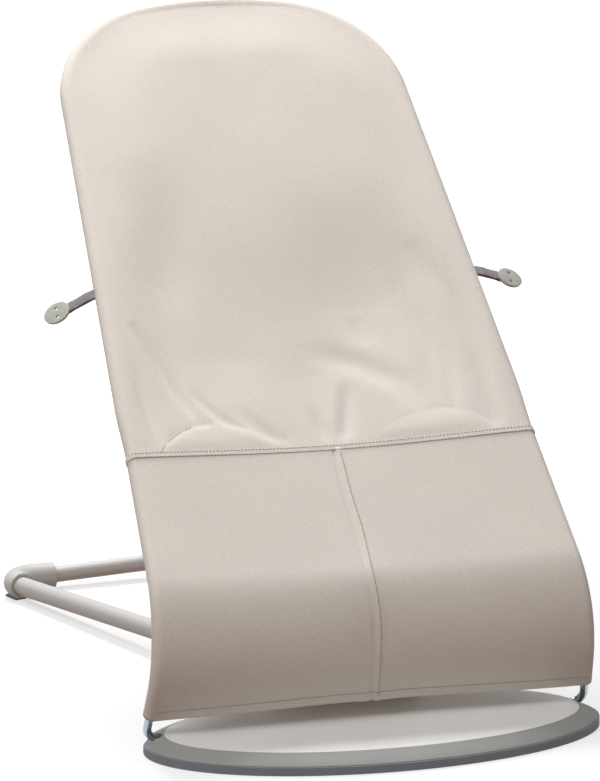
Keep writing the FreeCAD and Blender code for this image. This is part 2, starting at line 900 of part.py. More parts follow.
def make_cover():
    """The cover's plain solids: upper front, lower front round the nose, and head pocket."""
    edge = size("cover_edge")
    seam = size("seam_along")
    front_out = size("seat_out") + size("cover_offset")

    rounded = arch_wire(edge)
    seam_half = hoop_half_width(seam) + edge
    seam_right = Vector(seam_half, seam, 0)
    seam_left = Vector(-seam_half, seam, 0)
    start = rounded[0].StartPoint
    end = rounded[-1].EndPoint
    sides = [
        Part.LineSegment(seam_right, start),
        *rounded,
        Part.LineSegment(end, seam_left),
        Part.LineSegment(seam_left, seam_right),
    ]
    place = seat_placement.multiply(Placement(Vector(0, 0, front_out), Rotation()))
    upper = padded_body("upper_panel", "XY_Plane", sides, "Dims.cover_thickness", False, place)
    keep("cover_front_upper", upper)

    back = size("back_start")
    back_half = hoop_half_width(back) + edge
    back_right = Vector(back_half, back, 0)
    back_left = Vector(-back_half, back, 0)
    outline = [
        Part.LineSegment(back_right, start),
        *arch_wire(edge),
        Part.LineSegment(end, back_left),
        Part.LineSegment(back_left, back_right),
    ]
    back_out = size("seat_out") - size("cover_offset") - size("cover_thickness")
    place = seat_placement.multiply(Placement(Vector(0, 0, back_out), Rotation()))
    pocket = padded_body("back_panel", "XY_Plane", outline, "Dims.cover_thickness", False, place)
    keep("cover_back", pocket)
    make_lower_cover(front_out, seam - size("seam_gap"))


def make_lower_cover(front_out, seam):
    """The lower front: a curved band from the seam round the nose to the hem."""
    thickness = size("cover_thickness")
    lean = math.radians(size("leg_lean"))
    up_leg = Vector(0, math.cos(lean), math.sin(lean))
    ahead = Vector(0, -math.sin(lean), math.cos(lean))
    radius = size("nose_radius")
    corner_along, corner_out = nose_corner()
    reach = radius * math.tan(lean / 2)
    centre = Vector(0, corner_along + reach, corner_out - radius)
    leg_top = Vector(0, corner_along, corner_out) - up_leg * reach
    hem = up_leg * (size("hem_height") / math.sin(lean + math.radians(size("seat_angle"))))
    middle_turn = (math.pi + lean) / 2

    def band_edge(offset):
        """Hem, leg top, nose middle, nose end and seam, at an offset from the frame's line."""
        nose = centre + Vector(0, math.cos(middle_turn), math.sin(middle_turn)) * (radius + offset)
        nose_end = centre + Vector(0, 0, 1) * (radius + offset)
        return hem + ahead * offset, leg_top + ahead * offset, nose, nose_end

    inner = size("cover_offset")
    outer = inner + thickness
    hem_in, top_in, nose_in, end_in = band_edge(inner)
    hem_out, top_out, nose_out, end_out = band_edge(outer)
    seam_in = Vector(0, seam, front_out)
    seam_out = Vector(0, seam, front_out + thickness)

    def flat(point):
        """A point of the profile as the sketch sees it."""
        return Vector(point.y, point.z, 0)

    edges = [
        Part.LineSegment(flat(seam_out), flat(end_out)),
        Part.Arc(flat(end_out), flat(nose_out), flat(top_out)),
        Part.LineSegment(flat(top_out), flat(hem_out)),
        Part.LineSegment(flat(hem_out), flat(hem_in)),
        Part.LineSegment(flat(hem_in), flat(top_in)),
        Part.Arc(flat(top_in), flat(nose_in), flat(end_in)),
        Part.LineSegment(flat(end_in), flat(seam_in)),
        Part.LineSegment(flat(seam_in), flat(seam_out)),
    ]
    band = doc.addObject("Part::Feature", "lower_band")
    wire = Part.Wire([edge.toShape() for edge in edges])
    rod_edge = size("rod_half_width") + size("rod_radius")
    width = 2 * (rod_edge + size("band_side_margin"))
    shape = Part.Face(wire)
    shape.Placement = Placement(Vector(-width / 2, 0, 0), Rotation(Vector(1, 1, 1), 120))
    band.Shape = shape.extrude(X_AXIS * width)
    band.Placement = seat_placement

    hem_half = rod_edge + size("hem_side_margin")
    seam_half = hoop_half_width(seam) + size("cover_edge")
    low = seat_placement.multVec(hem_out).z
    high = seat_placement.multVec(seam_out).z
    slope = (hem_half - seam_half) / (high - low)
    margin = size("taper_margin")
    bottom_half = hem_half + margin * slope
    top_half = seam_half - margin * slope
    trapezium = [
        (-bottom_half, low - margin),
        (bottom_half, low - margin),
        (top_half, high + margin),
        (-top_half, high + margin),
    ]
    depth = "10 * Dims.tool_length"
    taper = padded_body("lower_taper", "XZ_Plane", polygon(trapezium), depth, True)
    lower = doc.addObject("Part::Common", "lower_panel")
    lower.Base = band
    lower.Tool = taper
    keep("cover_front_lower", lower)


# ---------------------------------------------------------------- side straps


def make_straps():
    """The elastic loop at each side of the seat and the oval toggle on its end."""
    along = size("strap_along")
    length = size("strap_length")
    width = size("strap_width")
    hole_offset = size("toggle_hole_offset")
    for side, sign in SIDES.items():
        root_across = hoop_half_width(along) + size("cover_edge") + size("strap_gap")
        root = Vector(sign * root_across, along, size("seat_out"))
        tilt = Rotation(Y_AXIS, sign * size(f"strap_droop_{side}"))
        strap = box(
            f"strap_{side}", "Dims.strap_length", "Dims.strap_width", "Dims.strap_thickness", Vector()
        )
        inner = Vector(0 if sign > 0 else -length, -width / 2, -size("strap_thickness") / 2)
        strap.Placement = seat_placement.multiply(
            Placement(root, tilt).multiply(Placement(inner, Rotation()))
        )
        keep(f"elastic_strap_{side}", strap)

        outline = doc.addObject("Part::Ellipse", f"toggle_outline_{side}")
        bind(
            outline,
            MajorRadius="Dims.toggle_half_length",
            MinorRadius="Dims.toggle_half_width",
        )
        disc = doc.addObject("Part::Extrusion", f"toggle_disc_{side}")
        disc.Base = outline
        disc.DirMode = "Custom"
        disc.Dir = Z_AXIS
        disc.Solid = True
        bind(disc, LengthFwd="Dims.toggle_thickness")
        holes = [
            cylinder(
                f"toggle_hole_{side}_{number}",
                "Dims.toggle_hole",
                "3 * Dims.toggle_thickness",
                Vector(0, offset, -size("toggle_thickness")),
                Z_AXIS,
            )
            for number, offset in enumerate((-hole_offset, hole_offset), start=1)
        ]
        toggle = cut(f"toggle_{side}_solid", disc, holes)
        reach = length + size("toggle_gap") + size("toggle_half_length")
        centre = Vector(sign * reach, 0, -size("toggle_thickness") / 2)
        toggle.Placement = seat_placement.multiply(
            Placement(root, tilt).multiply(Placement(centre, Rotation()))
        )
        keep(f"toggle_{side}", toggle)


# ---------------------------------------------------------------- build, check and write

make_foot_plate()
make_floor_tubes()
make_socket_block()
make_rear_corners()
make_support()
make_spring_rods()
make_hoop()
make_cross_bars()
make_racks()
make_cover()
make_straps()
doc.recompute()

for item in doc.Objects:
    if {"Invalid", "Error"} & set(item.State):
        raise RuntimeError(f"{item.Name} did not build: {item.State}")
for label, piece in nodes.items():
    if piece.Shape.isNull() or not piece.Shape.isValid():
        raise RuntimeError(f"{label} has no valid shape")

os.makedirs("parts", exist_ok=True)
for label, piece in nodes.items():
    piece.Shape.exportStep(f"parts/{label}.step")
    bounds = piece.Shape.BoundBox
    print(
        f"{label}: {len(piece.Shape.Solids)} solid(s), {piece.Shape.Volume / 1000:.1f} cm3, "
        f"X {bounds.XMin:.1f}..{bounds.XMax:.1f} Y {bounds.YMin:.1f}..{bounds.YMax:.1f} "
        f"Z {bounds.ZMin:.1f}..{bounds.ZMax:.1f}"
    )
print(f"support angle {support_angle:.2f}, support length {support_run.Length:.2f}")
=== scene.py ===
import json
import logging
import math
from contextlib import contextmanager
from dataclasses import dataclass, field
from enum import Enum
from typing import Any, Callable, Iterator, Sequence

import bpy
import numpy as np
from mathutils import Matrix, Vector


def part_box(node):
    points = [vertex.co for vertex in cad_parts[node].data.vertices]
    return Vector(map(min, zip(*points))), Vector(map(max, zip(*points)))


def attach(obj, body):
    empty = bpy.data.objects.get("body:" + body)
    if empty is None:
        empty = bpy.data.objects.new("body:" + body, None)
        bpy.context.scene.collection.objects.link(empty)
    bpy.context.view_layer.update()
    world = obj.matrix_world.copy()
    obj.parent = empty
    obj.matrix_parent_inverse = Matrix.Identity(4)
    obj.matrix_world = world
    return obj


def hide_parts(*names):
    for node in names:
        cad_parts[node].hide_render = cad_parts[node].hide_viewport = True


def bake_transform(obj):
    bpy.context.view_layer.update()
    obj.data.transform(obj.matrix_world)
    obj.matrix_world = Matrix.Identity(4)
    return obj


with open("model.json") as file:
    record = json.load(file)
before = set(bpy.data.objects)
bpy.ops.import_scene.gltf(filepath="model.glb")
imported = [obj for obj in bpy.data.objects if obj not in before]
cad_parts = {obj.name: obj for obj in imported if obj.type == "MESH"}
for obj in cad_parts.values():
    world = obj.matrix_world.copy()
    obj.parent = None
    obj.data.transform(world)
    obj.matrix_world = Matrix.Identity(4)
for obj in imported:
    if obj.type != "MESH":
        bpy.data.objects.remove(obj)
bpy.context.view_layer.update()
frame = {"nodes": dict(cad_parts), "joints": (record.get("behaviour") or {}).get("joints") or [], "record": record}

logging.basicConfig(level=logging.INFO, format="%(message)s")
log = logging.getLogger("bouncer")

Points = np.ndarray
MM = 0.001


class Side(Enum):
    """The two sides of the seat, with the sign of X on each."""

    LEFT = -1
    RIGHT = 1

    @property
    def word(self) -> str:
        """The side's name as the CAD nodes spell it."""
        return self.name.lower()


# ---------------------------------------------------------------- working tools


def clear_selection() -> None:
    """Deselect everything, so that an operator acts only on what is chosen next."""
    bpy.ops.object.select_all(action="DESELECT")


def choose(*pieces: bpy.types.Object) -> None:
    """Select some objects and make the first one active.

    Args:
        pieces: The objects to select.
    """
    clear_selection()
    for piece in pieces:
        piece.select_set(True)
    bpy.context.view_layer.objects.active = pieces[0]


def named(name: str) -> bpy.types.Object:
    """Name the object that an operator has just added.

    Args:
        name: The new name of the object and its mesh.

    Returns:
        The active object.
    """
    piece = bpy.context.object
    piece.name = name
    piece.data.name = name
    return piece


def bake(piece: bpy.types.Object) -> None:
    """Apply a piece's modifiers in order and put its place into its mesh.

    Args:
        piece: The object to finish.
    """
    choose(piece)
    for modifier in list(piece.modifiers):
        bpy.ops.object.modifier_apply(modifier=modifier.name)
    bpy.ops.object.transform_apply(location=True, rotation=True, scale=True)


def add_modifier(piece: bpy.types.Object, kind: str, **settings: Any) -> None:
    """Add one modifier with its settings.

    Args:
        piece: The object that gets it.
        kind: Blender's name for the modifier's type.
        settings: Values for the modifier's own properties.
    """
    modifier = piece.modifiers.new(kind.title(), kind)
    for key, value in settings.items():
        setattr(modifier, key, value)


def smooth(piece: bpy.types.Object, degrees: float = 180.0) -> None:
    """Shade a piece smooth where its faces meet at less than an angle.

    Args:
        piece: The object to shade.
        degrees: The largest angle that is still smooth.
    """
    choose(piece)
    bpy.ops.object.shade_smooth_by_angle(angle=math.radians(degrees))


@contextmanager
def editing(piece: bpy.types.Object, selected: str = "SELECT") -> Iterator[None]:
    """Open a piece in edit mode for the block that follows.

    Args:
        piece: The mesh to edit.
        selected: SELECT for all of it, or DESELECT for none.

    Yields:
        Nothing, while the piece is open.
    """
    choose(piece)
    bpy.ops.object.mode_set(mode="EDIT")
    bpy.ops.mesh.select_all(action=selected)
    yield
    bpy.ops.object.mode_set(mode="OBJECT")


def cut(piece: bpy.types.Object, cutter: bpy.types.Object) -> None:
    """Cut one closed mesh out of another, and throw the cutter away.

    Args:
        piece: The mesh that stays.
        cutter: The shape to take out of it.
    """
    add_modifier(piece, "BOOLEAN", operation="DIFFERENCE", object=cutter, solver="EXACT")
    choose(piece)
    bpy.ops.object.modifier_apply(modifier=piece.modifiers[0].name)
    bpy.data.objects.remove(cutter)


def woven_grid(
    name: str, points: Points, lengths: Points, facing: Points | None = None
) -> bpy.types.Object:
    """Lay a grid of quads through rows of points, with a UV map in metres of cloth.

    Args:
        name: The new object's name.
        points: Rows by columns by three, in metres.
        lengths: Rows by columns by two, the cloth's own coordinates in metres.
        facing: A direction that the sheet's outer side roughly looks along, if it is turned.

    Returns:
        The new sheet, one layer thick.
    """
    rows, columns = points.shape[:2]
    clear_selection()
    bpy.ops.mesh.primitive_grid_add(
        x_subdivisions=columns - 1, y_subdivisions=rows - 1, size=1.0, calc_uvs=True
    )
    sheet = named(name)
    mesh = sheet.data
    flat = np.zeros(len(mesh.vertices) * 3)
    mesh.vertices.foreach_get("co", flat)
    flat = flat.reshape(-1, 3)
    column = np.rint((flat[:, 0] + 0.5) * (columns - 1)).astype(int)
    row = np.rint((flat[:, 1] + 0.5) * (rows - 1)).astype(int)
    mesh.vertices.foreach_set("co", points[row, column].reshape(-1))
    corner = np.zeros(len(mesh.loops), int)
    mesh.loops.foreach_get("vertex_index", corner)
    mesh.uv_layers[0].data.foreach_set("uv", lengths[row, column][corner].reshape(-1))
    mesh.update()
    normals = np.zeros(len(mesh.polygons) * 3)
    mesh.polygons.foreach_get("normal", normals)
    if facing is not None and (normals.reshape(-1, 3) @ facing).sum() < 0:
        with editing(sheet):
            bpy.ops.mesh.flip_normals()
    return sheet


def weld(piece: bpy.types.Object, distance: float = 0.00002) -> None:
    """Merge the points of a piece that lie on each other.

    Args:
        piece: The mesh to weld.
        distance: The furthest apart that two points may be, in metres.
    """
    with editing(piece):
        bpy.ops.mesh.remove_doubles(threshold=distance)


def thicken(piece: bpy.types.Object, thickness: float) -> None:
    """Make a closed shell of a sheet, inwards from its outer side, and smooth it.

    Args:
        piece: The sheet.
        thickness: The cloth's thickness, in metres.
    """
    add_modifier(piece, "SOLIDIFY", thickness=thickness, offset=-1.0)
    bake(piece)
    smooth(piece)


def swept_bar(name: str, path: Points, radius: float) -> bpy.types.Object:
    """Bend a round bar along a line of points.

    Args:
        name: The new object's name.
        path: The points of the bar's axis, in metres.
        radius: The bar's radius, in metres.

    Returns:
        The bar as a closed mesh.
    """
    curve = bpy.data.curves.new(name, "CURVE")
    curve.dimensions = "3D"
    curve.bevel_depth = radius
    curve.bevel_resolution = 5
    curve.use_fill_caps = True
    spline = curve.splines.new("POLY")
    spline.points.add(len(path) - 1)
    for point, place in zip(spline.points, path):
        point.co = (*place, 1.0)
    bar = bpy.data.objects.new(name, curve)
    bpy.context.scene.collection.objects.link(bar)
    choose(bar)
    bpy.ops.object.convert(target="MESH")
    bar = named(name)
    smooth(bar, 40.0)
    return bar


def distances(line: Points) -> Points:
    """How far each point of a line is from its start, walked along it."""
    return np.concatenate([[0.0], np.cumsum(np.linalg.norm(np.diff(line, axis=0), axis=1))])


def at_distances(values: Points, walked: Points, spots: Points) -> Points:
    """Read places or directions off a line, between its points.

    Args:
        values: One row of coordinates for each point of the line.
        walked: How far each point is from the line's start.
        spots: The distances to read at.

    Returns:
        One row for each spot.
    """
    return np.stack([np.interp(spots, walked, column) for column in values.T], axis=1)


def step(value: Points, low: float, high: float) -> Points:
    """A smooth step from 0 at low to 1 at high."""
    part = np.clip((value - low) / (high - low), 0.0, 1.0)
    return part * part * (3.0 - 2.0 * part)


# ---------------------------------------------------------------- finishes


def linear(colour: str) -> tuple[float, float, float, float]:
    """Turn an sRGB hex colour into Blender's linear colour.

    Args:
        colour: Six hex digits after a hash.

    Returns:
        Red, green, blue and an alpha of 1.
    """
    parts = [int(colour[place : place + 2], 16) / 255.0 for place in (1, 3, 5)]
    red, green, blue = (
        part / 12.92 if part <= 0.04045 else ((part + 0.055) / 1.055) ** 2.4 for part in parts
    )
    return red, green, blue, 1.0


def add_node(
    tree: bpy.types.NodeTree,
    kind: str,
    settings: dict[str, Any] | None = None,
    inputs: dict[Any, Any] | None = None,
) -> bpy.types.Node:
    """Add one shader node with its settings and links.

    Args:
        tree: The material's node tree.
        kind: Blender's name for the node's type.
        settings: Values for the node's own properties.
        inputs: For each input, a value, or the output socket that feeds it.

    Returns:
        The new node.
    """
    node = tree.nodes.new(kind)
    for key, value in (settings or {}).items():
        setattr(node, key, value)
    for key, value in (inputs or {}).items():
        if isinstance(value, bpy.types.NodeSocket):
            tree.links.new(value, node.inputs[key])
        else:
            node.inputs[key].default_value = value
    return node


def blank_material(name: str) -> tuple[bpy.types.Material, bpy.types.NodeTree]:
    """Make a new material with an empty node tree.

    Args:
        name: The material's name.

    Returns:
        The material and its tree.
    """
    material = bpy.data.materials.new(name)
    material.use_nodes = True
    material.node_tree.nodes.clear()
    return material, material.node_tree


@dataclass(frozen=True)
class Finish:
    """A hard surface: its colour, gloss and the fine texture its making leaves.

    Grain and mottle are real sizes in metres, and are turned into pattern scales here.
    """

    name: str
    colour: str
    dark: str
    roughness: float
    metallic: float = 0.0
    ior: float = 1.5
    grain: float = 0.0009
    relief: float = 0.00004
    mottle: float = 0.03
    gloss_spread: float = 0.06

    def material(self) -> bpy.types.Material:
        """Build the finish as a procedural material on Object coordinates.

        Returns:
            The new material.
        """
        material, tree = blank_material(self.name)
        place = add_node(tree, "ShaderNodeTexCoord").outputs["Object"]
        mottle = add_node(
            tree,
            "ShaderNodeTexNoise",
            inputs={"Vector": place, "Scale": 1.0 / self.mottle, "Detail": 4.0},
        )
        grain = add_node(
            tree,
            "ShaderNodeTexNoise",
            inputs={"Vector": place, "Scale": 1.0 / self.grain, "Detail": 2.0},
        )
        tone = add_node(
            tree,
            "ShaderNodeMix",
            {"data_type": "RGBA"},
            {0: mottle.outputs["Fac"], 6: linear(self.dark), 7: linear(self.colour)},
        )
        gloss = add_node(
            tree,
            "ShaderNodeMapRange",
            inputs={
                "Value": grain.outputs["Fac"],
                "To Min": self.roughness - self.gloss_spread,
                "To Max": self.roughness + self.gloss_spread,
            },
        )
        relief = add_node(
            tree,
            "ShaderNodeBump",
            inputs={"Height": grain.outputs["Fac"], "Distance": self.relief, "Strength": 1.0},
        )
        surface = add_node(
            tree,
            "ShaderNodeBsdfPrincipled",
            inputs={
                "Base Color": tone.outputs[2],
                "Roughness": gloss.outputs["Result"],
                "Normal": relief.outputs["Normal"],
                "Metallic": self.metallic,
                "IOR": self.ior,
            },
        )
        add_node(tree, "ShaderNodeOutputMaterial", inputs={"Surface": surface.outputs["BSDF"]})
        return material


@dataclass(frozen=True)
class Cloth:
    """A woven or knitted cloth whose threads follow the piece's own UV map, in metres.

    Thread is the distance between threads, slub the length of a thick stretch of yarn, and
    relief how far the threads stand up. At a scale of 1 a wave repeats every pi / 10 metres.
    """

    name: str
    colour: str
    dark: str
    thread: float
    slub: float
    relief: float
    sheen: float

    def material(self) -> bpy.types.Material:
        """Build the cloth: crossing threads, uneven yarn, soft mottling and a light nap.

        Returns:
            The new material.
        """
        material, tree = blank_material(self.name)
        place = add_node(tree, "ShaderNodeTexCoord").outputs["UV"]
        threads = []
        for direction in ("X", "Y"):
            wobble = add_node(
                tree,
                "ShaderNodeTexWave",
                {"bands_direction": direction},
                {
                    "Vector": place,
                    "Scale": math.pi / (10.0 * self.thread),
                    "Distortion": 1.2,
                    "Detail": 1.0,
                    "Detail Scale": 0.6,
                },
            )
            threads.append(wobble.outputs["Fac"])
        weave = add_node(
            tree, "ShaderNodeMath", {"operation": "MULTIPLY"}, {0: threads[0], 1: threads[1]}
        )
        yarns = []
        for stretch in ((1.0, 6.0, 1.0), (6.0, 1.0, 1.0)):
            along = add_node(
                tree, "ShaderNodeMapping", inputs={"Vector": place, "Scale": stretch}
            )
            yarn = add_node(
                tree,
                "ShaderNodeTexNoise",
                inputs={"Vector": along.outputs["Vector"], "Scale": 1.0 / self.slub, "Detail": 3.0},
            )
            yarns.append(yarn.outputs["Fac"])
        slub = add_node(
            tree, "ShaderNodeMath", {"operation": "ADD"}, {0: yarns[0], 1: yarns[1]}
        )
        broad = add_node(
            tree, "ShaderNodeTexNoise", inputs={"Vector": place, "Scale": 14.0, "Detail": 2.0}
        )
        uneven = add_node(
            tree,
            "ShaderNodeMapRange",
            inputs={"Value": slub.outputs["Value"], "From Min": 0.7, "From Max": 1.3},
        )
        yarn_tone = add_node(
            tree,
            "ShaderNodeMix",
            {"data_type": "RGBA"},
            {0: uneven.outputs["Result"], 6: linear(self.dark), 7: linear(self.colour)},
        )
        shade = add_node(
            tree,
            "ShaderNodeMapRange",
            inputs={"Value": broad.outputs["Fac"], "To Min": 0.94, "To Max": 1.03},
        )
        tone = add_node(
            tree,
            "ShaderNodeMix",
            {"data_type": "RGBA", "blend_type": "MULTIPLY"},
            {0: 1.0, 6: yarn_tone.outputs[2], 7: shade.outputs["Result"]},
        )
        height = add_node(
            tree,
            "ShaderNodeMath",
            {"operation": "ADD"},
            {0: weave.outputs["Value"], 1: slub.outputs["Value"]},
        )
        relief = add_node(
            tree,
            "ShaderNodeBump",
            inputs={"Height": height.outputs["Value"], "Distance": self.relief, "Strength": 1.0},
        )
        surface = add_node(
            tree,
            "ShaderNodeBsdfPrincipled",
            inputs={
                "Base Color": tone.outputs[2],
                "Roughness": 0.88,
                "Normal": relief.outputs["Normal"],
                "IOR": 1.45,
                "Sheen Weight": self.sheen,
                "Sheen Roughness": 0.45,
            },
        )
        add_node(tree, "ShaderNodeOutputMaterial", inputs={"Surface": surface.outputs["BSDF"]})
        return material


# Plain-woven cotton, dyed in the piece: a dry, matt cloth with slightly uneven yarns. Its real
# threads are 0.4 mm apart, too fine to show, so they are drawn 0.9 mm apart.
COVER_CLOTH = Cloth("cotton_plain_weave", "#E0D9D1", "#D2C9C0", 0.0009, 0.004, 0.00012, 0.15)
# Polyester sewing thread, a shade darker than the cloth it sinks into.
SEWING_THREAD = Cloth("polyester_thread", "#B3A89D", "#A1958A", 0.0006, 0.002, 0.0001, 0.1)
# Knitted elastic: ribs about a millimetre apart, a little fuzzy.
ELASTIC = Cloth("knitted_elastic", "#A79EA4", "#8B8288", 0.0011, 0.002, 0.0003, 0.2)
# Moulded polypropylene with a fine spark-eroded grain that breaks up its gloss.
MOULDED = Finish("moulded_polypropylene", "#C3C3BF", "#BABAB6", 0.46, ior=1.49, relief=0.00003)
# The plate's top, polished a little smoother in the tool than its edge.
PLATE_TOP = Finish("moulded_plate_top", "#E4E3DF", "#DBDAD6", 0.42, ior=1.49, relief=0.00002)
# The plate's sloping edge: the top's plastic painted darker as shade, with a coarser grain that dulls its gloss.
PLATE_EDGE_SHADE = Finish("plate_edge_painted_shade", "#9B9A96", "#91908C", 0.62, ior=1.49, grain=0.0012,
                    relief=0.00008)
# The same plastic on the small toggles, where the tool was polished smoother.
TOGGLE = Finish("moulded_toggle", "#BBBCB3", "#B0B1A8", 0.34, ior=1.49, relief=0.00001)
# Thermoplastic rubber: matt, dark, and a little bloomed.
RUBBER = Finish("moulded_rubber", "#858C95", "#787F88", 0.68, ior=1.52, grain=0.0014)
# Steel wire plated with bright zinc: bluish and clear enough to mirror its surroundings.
ZINC = Finish("zinc_plated_steel", "#C3CFD8", "#A9B6C0", 0.22, metallic=1.0, grain=0.002,
              relief=0.00001)
# Steel tube under baked powder coat: satin, with a faint orange-peel skin.
POWDER = Finish("powder_coated_steel", "#CAC8C6", "#C0BEBC", 0.4, grain=0.0022, relief=0.00004)
# Glass-filled nylon, dull and nearly black.
NYLON = Finish("moulded_nylon", "#3E3E40", "#343436", 0.55, ior=1.53)


# ---------------------------------------------------------------- the seat's own frame


@dataclass(frozen=True)
class SeatFrame:
    """The sloping seat's frame: across, along the seat from its pins, and out to the child."""

    pins: Points
    along: Points
    out: Points

    def world(self, across: Points, along: Points, out: Points) -> Points:
        """Place points of the seat's frame in the world.

        Args:
            across: Distances to the right, in metres.
            along: Distances up the seat from the pins.
            out: Distances towards the child.

        Returns:
            The points, with their coordinates last.
        """
        across, along, out = np.broadcast_arrays(across, along, out)
        shift = along[..., None] * self.along + out[..., None] * self.out
        shift[..., 0] += across
        return self.pins + shift


def read_seat_frame() -> SeatFrame:
    """Find the seat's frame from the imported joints.

    Returns:
        The frame at rest.
    """
    joints = {joint["name"]: joint for joint in frame["joints"]}
    along = np.array(joints["strap_left_swing"]["axis"], float)
    along /= np.linalg.norm(along)
    out = np.array([0.0, -along[2], along[1]])
    return SeatFrame(np.array(joints["seat_recline"]["pos_m"], float), along, out)


@dataclass(frozen=True)
class Hoop:
    """The line of the tubes that carry the cover, in the seat's frame."""

    out: float = 0.0964
    wide_along: float = 0.087
    wide_half: float = 0.1785
    taper: float = 0.0602
    joint: float = 0.590
    corner_radius: float = 0.102
    top_radius: float = 0.347
    top: float = 0.6967
    # the rods that carry on from the tubes: round the nose and down to the pins
    nose_radius: float = 0.077
    leg_lean: float = math.radians(72.0)
    pin_half: float = 0.190
    stiff_below: float = 0.02
    stiff_above: float = 0.150

    @property
    def nose_along(self) -> float:
        """Where the legs' lines would meet the side tubes' lines, along the seat."""
        return self.out / math.tan(self.leg_lean)

    @property
    def nose_reach(self) -> float:
        """How far the nose's bend begins from where those lines meet."""
        return self.nose_radius * math.tan(self.leg_lean / 2)

    @property
    def leg_length(self) -> float:
        """The distance from the pins to where those lines meet."""
        return self.out / math.sin(self.leg_lean)

    def flexing(self, seat: SeatFrame) -> tuple[tuple[float, ...], tuple[float, ...]]:
        """Where the rods begin and end to bend, between the pins and the side tubes.

        Args:
            seat: The seat's frame.

        Returns:
            A point just above the pins and one above the nose, in the world.
        """
        start = seat.pins + seat.out * self.stiff_below
        end = seat.world(np.array(0.0), np.array(self.stiff_above), np.array(self.out))
        return tuple(start), tuple(end)

    def half_width(self, along: Points) -> Points:
        """Half the distance between the side tubes, at a place along the seat."""
        return self.wide_half - self.taper * (along - self.wide_along)

    def outline(self, start: float, count: int) -> tuple[Points, Points]:
        """Walk the right half of the hoop, from a place on its side tube to the apex.

        Args:
            start: Where to begin, along the seat.
            count: How many evenly spaced points to give.

        Returns:
            The points and their outward normals, each count by two.
        """
        side = np.array([-self.taper, 1.0]) / math.hypot(self.taper, 1.0)
        outward = np.array([side[1], -side[0]])
        joint = np.array([self.half_width(self.joint), self.joint])
        top_centre = np.array([0.0, self.top - self.top_radius])
        base = joint - outward * self.corner_radius
        offset = base - top_centre
        ahead = float(offset @ side)
        squares = ahead**2 - float(offset @ offset) + (self.top_radius - self.corner_radius) ** 2
        centre = base + side * (math.sqrt(squares) - ahead)
        turn_start = math.atan2(outward[1], outward[0])
        turn_end = math.atan2(*(centre - top_centre)[::-1])
        tangent = centre + outward * self.corner_radius
        begin = np.array([self.half_width(start), start])
        straight = float(np.linalg.norm(tangent - begin))
        corner = self.corner_radius * (turn_end - turn_start)
        crown = self.top_radius * (math.pi / 2 - turn_end)
        walked = np.linspace(0.0, straight + corner + crown, count)
        on_corner = turn_start + np.clip(walked - straight, 0, corner) / self.corner_radius
        on_crown = turn_end + np.clip(walked - straight - corner, 0, crown) / self.top_radius
        angle = np.where(walked < straight + corner, on_corner, on_crown)
        normal = np.stack([np.cos(angle), np.sin(angle)], axis=-1)
        line = begin + side * np.clip(walked, 0, straight)[:, None]
        curve = np.where(
            (walked < straight + corner)[:, None],
            centre + normal * self.corner_radius,
            top_centre + normal * self.top_radius,
        )
        points = np.where((walked <= straight)[:, None], line, curve)
        points[-1, 0] = 0.0
        return points, normal


@dataclass(frozen=True)
class Fold:
    """One soft fold of the cover: a groove with a crest beside it, along a line of corners.

    The corners are (across, along) in millimetres, and so are the groove's depth and the
    crest's height (ridge). The groove's width is in metres. The fold is weak at its first
    corner, strongest in its middle, and fades out at its last.
    """

    line: tuple[tuple[float, float], ...]
    width: float
    depth: float
    ridge: float = 0.0
    first_strength: float = 0.12
    strength_span: float = 0.8
    crest_shift: float = 1.7

    def height(self, across: Points, along: Points) -> Points:
        """How far the fold lifts the cloth at some places.

        Args:
            across: Distances to the right, in metres.
            along: Distances up the seat.

        Returns:
            The lift in metres, below zero in the groove.
        """
        corners = np.array(self.line) * MM
        runs = np.linalg.norm(np.diff(corners, axis=0), axis=1)
        nearest = np.full(across.shape, np.inf)
        lift = np.zeros(across.shape)
        passed = 0.0
        for start, end, run in zip(corners, corners[1:], runs):
            heading = (end - start) / run
            part = (across - start[0]) * heading[0] + (along - start[1]) * heading[1]
            part = np.clip(part, 0.0, run)
            gap_across = across - start[0] - part * heading[0]
            gap_along = along - start[1] - part * heading[1]
            gap = np.hypot(gap_across, gap_along)
            side = np.sign(gap_across * heading[1] - gap_along * heading[0])
            share = self.first_strength + self.strength_span * (passed + part) / runs.sum()
            strength = np.sin(np.pi * np.clip(share, 0, 1))
            groove = -self.depth * np.exp(-((gap / self.width) ** 2))
            shifted = side * gap - self.crest_shift * self.width
            crest = self.ridge * np.exp(-((shifted / self.width) ** 2))
            lift = np.where(gap < nearest, strength * (groove + crest), lift)
            nearest = np.minimum(gap, nearest)
            passed += run
        return lift * MM


# ---------------------------------------------------------------- the cover


@dataclass(frozen=True)
class Roll:
    """How a sheet's edge turns round the tube.

    Reach is how far it stands out past the tube's axis, rise how far it stands in front of it,
    turn its angles from straight out to the side, and travel the cloth walked to each angle.
    """

    reach: Points
    rise: float
    turn: Points
    travel: Points


